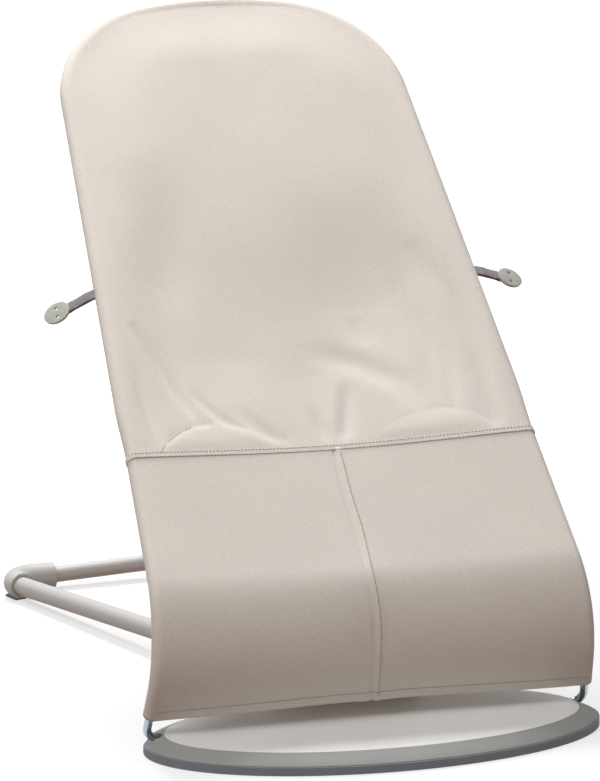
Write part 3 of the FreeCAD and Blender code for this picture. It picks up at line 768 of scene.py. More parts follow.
@dataclass
class Cover:
    """The sewn fabric cover: front panels, head pocket, seams, hem and stitches.

    Lengths are in metres. Along is measured up the seat from the pins, walked is measured down
    the lower panel from the seam, and inner goes from 0 at the tube to 1 at the middle line.
    """

    seat: SeatFrame
    hoop: Hoop = field(default_factory=Hoop)
    lift: float = 0.0078
    cloth: float = 0.0011
    seam: float = 0.210
    pocket: float = 0.524
    clips: tuple[float, float] = (0.364, 0.506)
    clip_opening: float = 0.0125
    hem_from_pin: float = 0.0237
    # rows and columns of each half, and how their columns crowd towards the tube
    upper_grid: tuple[int, int] = (250, 66)
    pocket_grid: tuple[int, int] = (96, 40)
    lower_grid: tuple[int, int] = (112, 76)
    upper_crowding: float = 1.2
    lower_crowding: float = 1.15
    # degrees that the rolls turn to: the upper front's, less near a clip and more at the pocket
    roll_end: float = -88.0
    clip_lift: float = 60.0
    pocket_tuck: float = 18.0
    pocket_roll: tuple[float, float] = (-90.0, -50.0)
    pocket_pull: float = 0.0030
    # how far the rolled edge stands past the tube's axis, and how much more above the seam
    edge_out: float = 0.0069
    edge_extra: float = 0.0024
    edge_blend: float = 0.055
    nose_narrowing: float = 0.0012
    # the dish between the tubes, and the hollow in it where a child sits
    dish_depth: float = 0.0080
    dish_power: float = 1.25
    hollow_depth: float = 0.0040
    hollow_along: float = 0.38
    hollow_spread: float = 0.12
    # the padded back: where its padding grows, its raised border and its rounder dish
    padding: tuple[float, float] = (0.26, 0.46)
    border: float = 0.0050
    border_width: float = 0.070
    round_inset: float = 0.012
    round_power: float = 1.6
    padding_fill: float = 0.45
    flattening: tuple[float, float] = (0.38, 0.66)
    flattened: float = 0.80
    ripple: float = 0.0006
    # the round top, where rows fan out from this stretch of the middle line
    fan: tuple[float, float] = (0.545, 0.612)
    # the seam band: half its width, its height, and how far its edges sink into the cloth
    band_half: float = 0.0030
    band_height: float = 0.0014
    band_sink: float = 0.0006
    band_stitches: tuple[float, float] = (-0.0021, 0.0021)
    # the gathered arcs over the seam: outer end, width, height and the lean of their tops
    arc_outer: float = 0.150
    arc_span: float = 0.132
    arc_rise: float = 0.032
    arc_lean: float = 0.75
    pouch: float = 0.0006
    crease: float = 0.0005
    crease_width: float = 0.0030
    tick: float = 0.0013
    tick_pitch: float = 0.0095
    tick_slant: float = 60.0
    tick_length: float = 0.014
    right_share: float = 0.5
    # the lobes above the arcs: how they lean to the middle, begin and fade out
    lobe_lean: float = 0.10
    lobe_start: float = 0.1
    lobe_fade: float = 0.14
    # stitches: their spacing and the half sizes of one bead of thread
    stitch_pitch: float = 0.0031
    stitch_size: tuple[float, float, float] = (0.0012, 0.00050, 0.00036)
    arc_stitches: tuple[float, float] = (-0.149, -0.116)
    # the lower panel: how much shallower its dish is at the hem, its centre seam and its hem
    dish_loss: float = 0.0045
    doubled: float = 0.0005
    pinch: float = 0.0012
    pinch_width: float = 0.020
    gentle: float = 0.0007
    topstitch: float = 0.0050
    seam_groove: float = 0.0016
    seam_groove_width: float = 0.0014
    hem_fold: float = 0.0102
    hem_stitch: float = 0.0088
    inner_flap: float = 0.014
    # for each lobe: middle across, half-width, height, and where it fades out along the seat
    lobe_shapes: tuple[tuple[float, float, float, float], ...] = (
        (-0.125, 0.030, 0.0095, 0.390),
        (-0.080, 0.034, 0.0060, 0.310),
        (0.072, 0.036, 0.0095, 0.360),
        (0.122, 0.028, 0.0080, 0.380),
        (0.000, 0.036, 0.0040, 0.290),
    )
    folds: tuple[Fold, ...] = (
        # left of the middle: long pleats that run into the gathered arc
        Fold(((-143, 345), (-128, 290), (-108, 243)), 0.0048, 2.5, 0.9),
        Fold(((-158, 305), (-151, 252), (-147, 220)), 0.0060, 2.1, 0.5),
        Fold(((-106, 274), (-90, 249), (-72, 236)), 0.0044, 1.9, 0.6),
        Fold(((-70, 254), (-52, 229), (-37, 213)), 0.0070, 2.0, 0.4),
        Fold(((-122, 305), (-118, 266), (-115, 246)), 0.0045, 0.8, 0.2),
        # right of the middle: a deep soft crease and the long folds beside it
        Fold(((14, 312), (46, 300), (76, 276), (90, 244)), 0.0125, 3.0, 0.4),
        Fold(((122, 410), (142, 352), (150, 296), (149, 250), (146, 214)), 0.0110, 3.4, 0.5),
        Fold(((92, 372), (110, 314), (107, 243)), 0.0090, 1.7, 0.5),
        Fold(((122, 305), (119, 264), (116, 238)), 0.0060, 1.3, 0.4),
        Fold(((50, 352), (60, 318)), 0.0150, 1.4, 0.0),
        # small upright folds over the middle of the seam
        Fold(((27, 272), (19, 238), (11, 211)), 0.0060, 2.2, 0.7),
        Fold(((-8, 252), (-3, 228), (3, 210)), 0.0055, 1.6, 0.5),
    )

    def sag(self, along: Points) -> Points:
        """How deep the cloth hangs between the tubes at the middle."""
        from_hollow = (along - self.hollow_along) / self.hollow_spread
        return self.dish_depth + self.hollow_depth * np.exp(-(from_hollow**2))

    def dish(self, inner: Points) -> Points:
        """The dish's depth as a share of the sag, from 0 at the tube to 1 at the middle."""
        return np.sin(np.pi / 2 * np.clip(inner, 0, 1)) ** self.dish_power

    def arc_height(self, across: Points) -> Points:
        """How far the gathered arcs rise above the seam."""
        part = np.clip((self.arc_outer - np.abs(across)) / self.arc_span, 0.0, 1.0)
        return self.arc_rise * np.sin(np.pi * part**self.arc_lean)

    def lobes(self, across: Points, along: Points) -> Points:
        """The fullness that the gathers throw up, which fades into the seat above them.

        Args:
            across: Distances to the right, in metres.
            along: Distances up the seat.

        Returns:
            How far it lifts the cloth: a lobe starts full at the seam and ends as a hollow.
        """
        lift = np.zeros(np.broadcast(across, along).shape)
        for middle, width, height, fades in self.lobe_shapes:
            lean = middle - self.lobe_lean * np.sign(middle) * (along - self.seam)
            share = np.exp(-(((across - lean) / width) ** 2))
            risen = np.clip((along - self.seam) / (fades - self.seam), 0.0, 1.0)
            tail = (self.lobe_start - risen) * (1.0 - step(along, fades, fades + self.lobe_fade))
            lift = lift + height * share * tail
        return lift

    def gathers(self, across: Points, along: Points) -> Points:
        """The pouch under each arc, the crease along it and the ticks gathered into it.

        Args:
            across: Distances to the right, in metres.
            along: Distances up the seat.

        Returns:
            How far they lift the cloth, in metres.
        """
        top = self.arc_height(across)
        above = along - self.seam - top
        from_middle = np.abs(across)
        pouch = self.pouch * step(-above, 0.0, 0.012) * step(top, 0.002, 0.018)
        crease = self.crease * np.exp(-((above / self.crease_width) ** 2))
        crease = crease * step(top, 0.002, 0.012) * (0.2 + 0.8 * step(from_middle, 0.040, 0.095))
        phase = 2 * np.pi * across / self.tick_pitch + self.tick_slant * above
        fade = np.exp(-np.clip(above, 0, 1) / self.tick_length) * (above > -0.001)
        outer = step(from_middle, 0.085, 0.105) * (1 - step(from_middle, 0.140, 0.150))
        ticks = self.tick * (0.5 + 0.5 * np.cos(phase)) ** 3 * fade * outer
        share = np.where(across < 0, 1.0, self.right_share)
        return np.where(from_middle < self.arc_outer, (pouch - crease - ticks) * share, 0.0)

    def front_out(
        self, across: Points, along: Points, inner: Points, reach: Points | float = 0.165
    ) -> Points:
        """The upper front's height over the hoop's plane.

        Args:
            across: Distances to the right, in metres.
            along: Distances up the seat.
            inner: 0 at the tube and 1 at the middle line.
            reach: How far the middle line is from the tube there.

        Returns:
            Distances out from the pins, in metres.
        """
        padded = step(along, *self.padding)
        border = self.border * padded * step(inner * reach, 0.0, self.border_width)
        share = across / (self.hoop.half_width(along) - self.round_inset)
        round_dish = np.clip(1 - share**2, 0, 1) ** self.round_power
        bowl = self.dish(inner) * (1 - padded) + round_dish * padded
        drop = self.sag(along) * (1 - self.padding_fill * padded) + self.border * padded
        drop = drop * (1 - self.flattened * step(along, *self.flattening))
        height = self.hoop.out + self.lift + border - drop * bowl
        relief = sum(fold.height(across, along) for fold in self.folds)
        relief = relief + self.gathers(across, along) + self.lobes(across, along)
        swell = np.sin(31 * across + 9 * along) * np.sin(23 * along - 11 * across)
        relief = relief + self.ripple * swell
        settle = step(inner, 0.0, 0.10) * step(along, self.seam + 0.0010, self.seam + 0.0160)
        return height + relief * settle

    def edge_reach(self, along: Points) -> Points:
        """How far the rolled edge stands out past the tube's axis."""
        wider = step(along, self.seam, self.seam + self.edge_blend)
        return self.edge_out + self.edge_extra * wider

    def upper_rows(self, start: float, rows: int, columns: int) -> tuple[Points, ...]:
        """Lay out half of the front or back sheet inside the hoop.

        Args:
            start: Where the sheet begins, along the seat.
            rows: Rows from there round to the apex.
            columns: Columns from the tube to the middle line.

        Returns:
            The hoop's points and normals, the sheet's places and their share inwards.
        """
        edge, normal = self.hoop.outline(start, rows)
        fan_start, fan_end = self.fan
        walked = distances(edge)
        first = walked[np.argmax(edge[:, 1] > fan_start)]
        share = np.clip((walked - first) / (walked[-1] - first), 0, 1)
        fanned = fan_start + (fan_end - fan_start) * share
        spine = np.where(edge[:, 1] > fan_start, fanned, edge[:, 1])
        inner = np.linspace(0.0, 1.0, columns) ** self.upper_crowding
        middle = np.stack([np.zeros(rows), spine], axis=-1)
        places = edge[:, None] + (middle - edge)[:, None] * inner[None, :, None]
        return edge, normal, places, np.broadcast_to(inner, (rows, columns))

    def rolled_half(
        self, sign: int, rows: tuple[Points, ...], height: Points, roll: Roll
    ) -> tuple[Points, Points]:
        """One half of a sheet inside the hoop, with its rolled edge.

        Args:
            sign: 1 on the right and -1 on the left.
            rows: The half's layout from upper_rows.
            height: The sheet's distances out, at each of its places.
            roll: How its edge turns round the tube.

        Returns:
            The points and their places on the cloth, from the middle line outwards.
        """
        edge, normal, places, _ = rows
        across, along = sign * places[..., 0], places[..., 1]
        sheet = self.seat.world(across, along, height)
        outward = (roll.reach[:, None] * np.cos(roll.turn))[..., None]
        rolled = edge[:, None] + normal[:, None] * outward
        rolled_out = self.hoop.out + roll.rise * np.sin(roll.turn)
        turned = self.seat.world(sign * rolled[..., 0], rolled[..., 1], rolled_out)
        unrolled = edge[:, None] + normal[:, None] * roll.travel[..., None]
        flat = np.stack([across, along], axis=-1)
        flat_roll = np.stack([sign * unrolled[..., 0], unrolled[..., 1]], axis=-1)
        points = np.concatenate([sheet[:, ::-1], turned], axis=1)
        return points, np.concatenate([flat[:, ::-1], flat_roll], axis=1)

    def make_panel(
        self, name: str, half: Callable[[int], tuple[Points, Points]], facing: Points
    ) -> bpy.types.Object:
        """Join two halves of a panel at the middle line and give the cloth its thickness.

        Args:
            name: The new object's name.
            half: Makes the half with a sign of X: its points and their places on the cloth.
            facing: The direction that its outer side looks along.

        Returns:
            The finished piece.
        """
        (left, left_cloth), (right, right_cloth) = (half(side.value) for side in Side)
        points = np.concatenate([left[:, :0:-1], right], axis=1)
        lengths = np.concatenate([left_cloth[:, :0:-1], right_cloth], axis=1)
        piece = woven_grid(name, points, lengths, facing)
        weld(piece)
        thicken(piece, self.cloth)
        return piece

    def make_upper(self) -> bpy.types.Object:
        """The upper front: a dished sheet that rolls round the hoop to behind the tubes.

        Its roll stops short where a clip grips the tube, and goes further round at the pocket.

        Returns:
            The finished piece.
        """
        rows = self.upper_rows(self.seam, *self.upper_grid)
        edge, _, places, inner = rows
        up_edge = edge[:, 1]
        near_clip = sum(
            np.exp(-(((up_edge - clip) / self.clip_opening) ** 6)) for clip in self.clips
        )
        at_pocket = step(up_edge, self.pocket - 0.009, self.pocket + 0.006)
        last = self.roll_end + self.clip_lift * near_clip - self.pocket_tuck * at_pocket
        last = np.radians(last)
        turn = np.pi / 2 + (last - np.pi / 2)[:, None] * np.linspace(0, 1, 11)[None, 1:]
        travel = (np.pi / 2 - turn) * self.lift
        roll = Roll(self.edge_reach(up_edge), self.lift, turn, travel)
        reach = np.linalg.norm(places[:, :1] - places[:, -1:], axis=-1)

        def half(sign: int) -> tuple[Points, Points]:
            """One half of the panel, for a sign of X."""
            height = self.front_out(sign * places[..., 0], places[..., 1], inner, reach)
            return self.rolled_half(sign, rows, height, roll)

        return self.make_panel("cover_front_panel", half, self.seat.out)

    def make_pocket(self) -> bpy.types.Object:
        """The pocket behind the head, which the top of the hoop slips into.

        Returns:
            The finished piece.
        """
        rows = self.upper_rows(self.pocket, *self.pocket_grid)
        edge, _, _, inner = rows
        turn = np.radians(np.linspace(*self.pocket_roll, 7))[None, 1:]
        travel = (turn + np.pi / 2) * self.lift
        reach = self.edge_reach(edge[:, 1]) - self.cloth
        roll = Roll(reach, self.lift - self.cloth, turn, travel)
        pull = self.pocket_pull * np.sin(np.pi / 2 * inner) ** 2
        height = self.hoop.out - self.lift + self.cloth + pull

        def half(sign: int) -> tuple[Points, Points]:
            """One half of the pocket, for a sign of X."""
            return self.rolled_half(sign, rows, height, roll)

        return self.make_panel("cover_head_pocket", half, -self.seat.out)

    def lower_profile(self, walked: Points) -> tuple[Points, ...]:
        """Follow the hoop and rods from the seam, round the nose and down to the hem.

        Args:
            walked: Distances from the seam, in metres.

        Returns:
            Along, out, the outward normal's two parts and the rods' half-width.
        """
        hoop = self.hoop
        lean, radius, reach = hoop.leg_lean, hoop.nose_radius, hoop.nose_reach
        centre_along = hoop.nose_along + reach
        straight = self.seam - centre_along
        arc = radius * lean
        turn = np.clip(walked - straight, 0, arc) / radius
        down = np.clip(walked - straight - arc, 0, None)
        level = self.seam - np.clip(walked, 0, straight)
        on_level = walked < straight
        along = np.where(on_level, level, centre_along - radius * np.sin(turn))
        out = np.where(on_level, hoop.out, hoop.out - radius + radius * np.cos(turn))
        along = along - down * math.cos(lean)
        out = out - down * math.sin(lean)
        widening = (hoop.pin_half - hoop.half_width(hoop.nose_along)) / hoop.leg_length
        leg_half = hoop.pin_half - widening * (hoop.leg_length - reach - down)
        end_half = hoop.pin_half - widening * (hoop.leg_length - reach)
        start_half = hoop.half_width(centre_along)
        arc_half = start_half + (end_half - start_half) * np.clip(turn / lean, 0, 1)
        half = np.where(down > 0, leg_half, arc_half)
        half = np.where(on_level, hoop.half_width(along), half)
        return along, out, -np.sin(turn), np.cos(turn), half

    def lower_length(self) -> float:
        """The lower panel's length of cloth from seam to hem.

        Returns:
            The length in metres.
        """
        hoop = self.hoop
        straight = self.seam - hoop.nose_along - hoop.nose_reach
        leg = hoop.leg_length - hoop.nose_reach - self.hem_from_pin
        return straight + hoop.nose_radius * hoop.leg_lean + leg

    def wander(self, walked: Points) -> Points:
        """How far the centre seam strays from the middle line."""
        return 0.0008 * np.sin(walked / 0.036) + 0.0006 * np.sin(walked / 0.013 + 1.0)

    def lower_lift(self, across: Points, walked: Points, inner: Points) -> Points:
        """The lower panel's height over the line of the frame.

        Args:
            across: Distances to the right, in metres.
            walked: Distances down the cloth from the seam.
            inner: 0 at the rods and 1 at the middle line.

        Returns:
            The height, with the centre seam's groove and lap and the hem's doubled cloth.
        """
        whole = self.lower_length()
        dip = self.dish_depth - self.dish_loss * step(walked, 0.03, whole)
        offset = across - self.wander(walked)
        groove = self.seam_groove * np.exp(-((offset / self.seam_groove_width) ** 2))
        lap = self.doubled * np.exp(-(((offset - 0.0036) / 0.0030) ** 4))
        pinch = self.pinch * np.exp(-((offset / self.pinch_width) ** 2)) * np.sin(walked / 0.017)
        pinch = pinch * step(walked, 0.06, 0.14)
        fold = whole - self.hem_fold
        hem = self.doubled * step(walked, fold - 0.0004, fold + 0.0004)
        gentle = self.gentle * np.sin(27 * across + 1.3) * np.sin(19 * walked)
        gentle = gentle * step(walked, 0.0, 0.02) * step(inner, 0.0, 0.1)
        return self.lift - dip * self.dish(inner) - groove + lap + pinch + hem + gentle

    def lower_world(self, across: Points, walked: Points, lift: Points) -> Points:
        """Place points that stand over the lower panel's line in the world.

        Args:
            across: Distances to the right, in metres.
            walked: Distances down the cloth from the seam.
            lift: Heights over the line of the frame.

        Returns:
            The points, with their coordinates last.
        """
        along, out, lean_along, lean_out, _ = self.lower_profile(walked)
        return self.seat.world(across, along + lean_along * lift, out + lean_out * lift)

    def make_lower(self) -> bpy.types.Object:
        """The lower front: from the seam over the sprung nose to the hem above the plate.

        Returns:
            The finished piece.
        """
        rows, columns = self.lower_grid
        walked = np.linspace(0.0, self.lower_length(), rows)[:, None]
        *_, half_width = self.lower_profile(walked)
        inner = np.linspace(0.0, 1.0, columns)[None, :] ** self.lower_crowding
        reach = self.edge_out - self.nose_narrowing * step(walked, 0.16, 0.24)
        turn = np.linspace(np.pi / 2, -np.pi / 2, 10)[None, 1:]
        inward = np.linspace(0.0, self.inner_flap, 6)[None, 1:]

        def half(sign: int) -> tuple[Points, Points]:
            """One half of the panel, with its roll and the flap tucked in behind the rod.

            Args:
                sign: 1 on the right and -1 on the left.

            Returns:
                The points and their places on the cloth, from the middle line outwards.
            """
            across = sign * half_width * (1 - inner)
            sheet = self.lower_world(across, walked, self.lower_lift(across, walked, inner))
            rolled = half_width + reach * np.cos(turn)
            roll = self.lower_world(sign * rolled, walked, self.lift * np.sin(turn))
            tuck = self.lower_world(sign * (half_width - inward), walked, -self.lift)
            travel = half_width + (np.pi / 2 - turn) * self.lift
            beyond = half_width + np.pi * self.lift + inward
            cloth = np.concatenate([across[:, ::-1], sign * travel, sign * beyond], axis=1)
            cloth_along = np.broadcast_to(self.seam - walked, cloth.shape)
            points = np.concatenate([sheet[:, ::-1], roll, tuck], axis=1)
            return points, np.stack([cloth, cloth_along], axis=-1)

        return self.make_panel("cover_lower_panel", half, self.seat.out)

    def seam_section(self, count: int) -> tuple[Points, Points]:
        """The cloth's cross-section at the seam, from one rolled edge to the other.

        Args:
            count: How many points to give between the tubes.

        Returns:
            Distances across and out, in metres.
        """
        half = self.hoop.half_width(self.seam)
        reach = self.edge_reach(np.array(self.seam))
        turn = np.linspace(np.radians(-70.0), np.pi / 2, 14)[:-1]
        flat = np.linspace(-half, half, count)
        drop = self.sag(np.array(self.seam)) * self.dish(1 - np.abs(flat) / half)
        front = self.hoop.out + self.lift - drop
        left_across = -half - reach * np.cos(turn)
        roll_out = self.hoop.out + self.lift * np.sin(turn)
        across = np.concatenate([left_across, flat, -left_across[::-1]])
        return across, np.concatenate([roll_out, front, roll_out[::-1]])

    def make_seam_band(self) -> bpy.types.Object:
        """The flat-felled seam between the panels: a narrow raised band.

        Returns:
            The finished piece.
        """
        across, out = self.seam_section(140)
        tangent_across, tangent_out = np.gradient(across), np.gradient(out)
        size = np.hypot(tangent_across, tangent_out)
        normal_across, normal_out = -tangent_out / size, tangent_across / size
        profile = np.linspace(-1.0, 1.0, 9)
        rise = self.band_height * np.clip(1 - profile**8, 0, 1) - self.band_sink
        along = self.seam + np.broadcast_to(
            self.band_half * profile, (len(across), len(profile))
        )
        lifted_across = across[:, None] + normal_across[:, None] * rise
        lifted_out = out[:, None] + normal_out[:, None] * rise
        points = self.seat.world(lifted_across, along, lifted_out)
        lengths = np.stack([np.broadcast_to(across[:, None], along.shape), along], axis=-1)
        piece = woven_grid("cover_seam_band", points, lengths, self.seat.out)
        thicken(piece, self.cloth / 2)
        return piece

    def sew(self, name: str, rows: Sequence[tuple[Points, Points]]) -> bpy.types.Object:
        """Lay stitches along some lines, each a copy of one small bead of thread.

        Args:
            name: The new object's name.
            rows: For each row, its points and the cloth's normals there.

        Returns:
            All the stitches as one piece.
        """
        clear_selection()
        bpy.ops.mesh.primitive_uv_sphere_add(segments=6, ring_count=5, radius=1.0)
        bead = named(name)
        corners = np.array([vertex.co for vertex in bead.data.vertices])
        faces = [tuple(polygon.vertices) for polygon in bead.data.polygons]
        corners = corners[:, [2, 0, 1]] * np.array(self.stitch_size)
        all_points, all_faces = [], []
        for line, normals in rows:
            walked = distances(line)
            spots = np.arange(self.stitch_pitch / 2, walked[-1], self.stitch_pitch)
            centre = at_distances(line, walked, spots)
            ahead = at_distances(line, walked, spots + 0.0005)
            ahead = ahead - at_distances(line, walked, spots - 0.0005)
            ahead /= np.linalg.norm(ahead, axis=1, keepdims=True)
            upward = at_distances(normals, walked, spots)
            upward -= ahead * (upward * ahead).sum(axis=1, keepdims=True)
            upward /= np.linalg.norm(upward, axis=1, keepdims=True)
            beside = np.cross(upward, ahead)
            for place, *axes in zip(centre, ahead, beside, upward):
                offset = len(all_points) * len(corners)
                all_points.append(place + corners @ np.stack(axes))
                all_faces += [tuple(index + offset for index in face) for face in faces]
        mesh = bpy.data.meshes.new(name)
        mesh.from_pydata(np.concatenate(all_points).tolist(), [], all_faces)
        bead.data = mesh
        smooth(bead)
        return bead

    def upper_stitches(self) -> bpy.types.Object:
        """The rows on the seam band, the left gathered arc and the head pocket's hem.

        Returns:
            The stitches that ride with the seat.
        """
        across, out = self.seam_section(200)
        keep = slice(6, -6)
        rows = []
        for offset in self.band_stitches:
            line = self.seat.world(across, self.seam + offset, out + 0.0009)[keep]
            rows.append((line, np.broadcast_to(self.seat.out, line.shape)))
        arc = np.linspace(*self.arc_stitches, 26)
        along = self.seam + self.arc_height(arc)
        inner = 1 - np.abs(arc) / self.hoop.half_width(along)
        line = self.seat.world(arc, along, self.front_out(arc, along, inner) + 0.0001)
        rows.append((line, np.broadcast_to(self.seat.out, line.shape)))
        across = np.linspace(-0.140, 0.140, 120)
        hem_out = self.hoop.out - self.lift + self.cloth - 0.0004
        line = self.seat.world(across, self.pocket + 0.012, hem_out)
        rows.append((line, np.broadcast_to(-self.seat.out, line.shape)))
        return self.sew("cover_upper_stitches", rows)

    def lower_stitches(self) -> bpy.types.Object:
        """The row along the hem and the topstitch beside the centre seam.

        Returns:
            The stitches on the lower panel.
        """
        whole = self.lower_length()
        hem = np.full(180, whole - self.hem_stitch)
        *_, half = self.lower_profile(hem)
        down = np.linspace(0.004, whole - 0.004, 150)
        places = [
            (np.linspace(-1.0, 1.0, 180) * half, hem),
            (self.wander(down) + self.topstitch, down),
        ]
        rows = []
        for across, walked in places:
            *_, half = self.lower_profile(walked)
            lift = self.lower_lift(across, walked, 1 - np.abs(across) / half) + 0.0002
            line = self.lower_world(across, walked, lift)
            rows.append((line, self.lower_world(across, walked, lift + 0.001) - line))
        return self.sew("cover_lower_stitches", rows)

    def build(self) -> None:
        """Make and dress every piece of the cover, and attach the upper pieces to the seat."""
        cloth = COVER_CLOTH.material()
        thread = SEWING_THREAD.material()
        upper = self.make_upper()
        pocket = self.make_pocket()
        band = self.make_seam_band()
        stitches = self.upper_stitches()
        lower = self.make_lower()
        lower_thread = self.lower_stitches()
        for piece in (upper, pocket, band, stitches):
            dress(piece, thread if piece is stitches else cloth)
            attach(piece, "seat")
        start, end = self.hoop.flexing(self.seat)
        for piece in (lower, lower_thread):
            dress(piece, thread if piece is lower_thread else cloth)
            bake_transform(piece)
        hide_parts("cover_front_upper")
        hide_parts("cover_back")
        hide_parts("cover_front_lower")
        log.info("cover: upper, pocket, seam band, lower panel and stitches")


def dress(piece: bpy.types.Object, material: bpy.types.Material) -> None:
    """Give a piece its only material.

    Args:
        piece: The object to dress.
        material: Its material.
    """
    piece.data.materials.clear()
    piece.data.materials.append(material)


# ---------------------------------------------------------------- sprung rods


@dataclass
class SpringRods:
    """The two zinc-plated rods: a pin in the plate, a leg and the sprung nose."""

    seat: SeatFrame
    hoop: Hoop = field(default_factory=Hoop)
    radius: float = 0.0035
    pin_start: float = 0.151
    pin_bend: float = 0.010
    end_along: float = 0.124
    bend_steps: tuple[int, int] = (8, 28)

    def corners(self, sign: int) -> list[Vector]:
        """The points where the rod's straight runs would meet.

        Args:
            sign: 1 on the right and -1 on the left.

        Returns:
            The rod's two ends and two corners, in the seat's frame.
        """
        hoop = self.hoop
        nose, end = hoop.nose_along, self.end_along
        return [
            Vector((sign * self.pin_start, 0.0, 0.0)),
            Vector((sign * hoop.pin_half, 0.0, 0.0)),
            Vector((sign * hoop.half_width(nose), nose, hoop.out)),
            Vector((sign * hoop.half_width(end), end, hoop.out)),
        ]

    def path(self, sign: int) -> Points:
        """Round the rod's corners to their bends.

        Args:
            sign: 1 on the right and -1 on the left.

        Returns:
            The points of the rod's axis in the world.
        """
        corners = self.corners(sign)
        places = [corners[0]]
        radii = (self.pin_bend, self.hoop.nose_radius)
        for before, corner, after, radius, count in zip(
            corners, corners[1:], corners[2:], radii, self.bend_steps
        ):
            back = (before - corner).normalized()
            ahead = (after - corner).normalized()
            half = back.angle(ahead) / 2
            bisector = (back + ahead).normalized()
            centre = corner + bisector * (radius / math.sin(half))
            begin = corner + back * (radius / math.tan(half)) - centre
            end = corner + ahead * (radius / math.tan(half)) - centre
            for index in range(count + 1):
                arm = begin.slerp(end, index / count)
                places.append(centre + arm.normalized() * radius)
        places.append(corners[-1])
        line = np.array([tuple(place) for place in places])
        return self.seat.world(line[:, 0], line[:, 1], line[:, 2])

    def build(self) -> None:
        """Make and dress both rods, and hide the CAD rods."""
        zinc = ZINC.material()
        start, end = self.hoop.flexing(self.seat)
        for side in Side:
            rod = swept_bar(f"sprung_rod_{side.word}", self.path(side.value), self.radius)
            dress(rod, zinc)
            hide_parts(f"spring_rod_{side.word}")
            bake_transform(rod)
            log.info("rod %s", side.word)


# ---------------------------------------------------------------- elastic straps and toggles


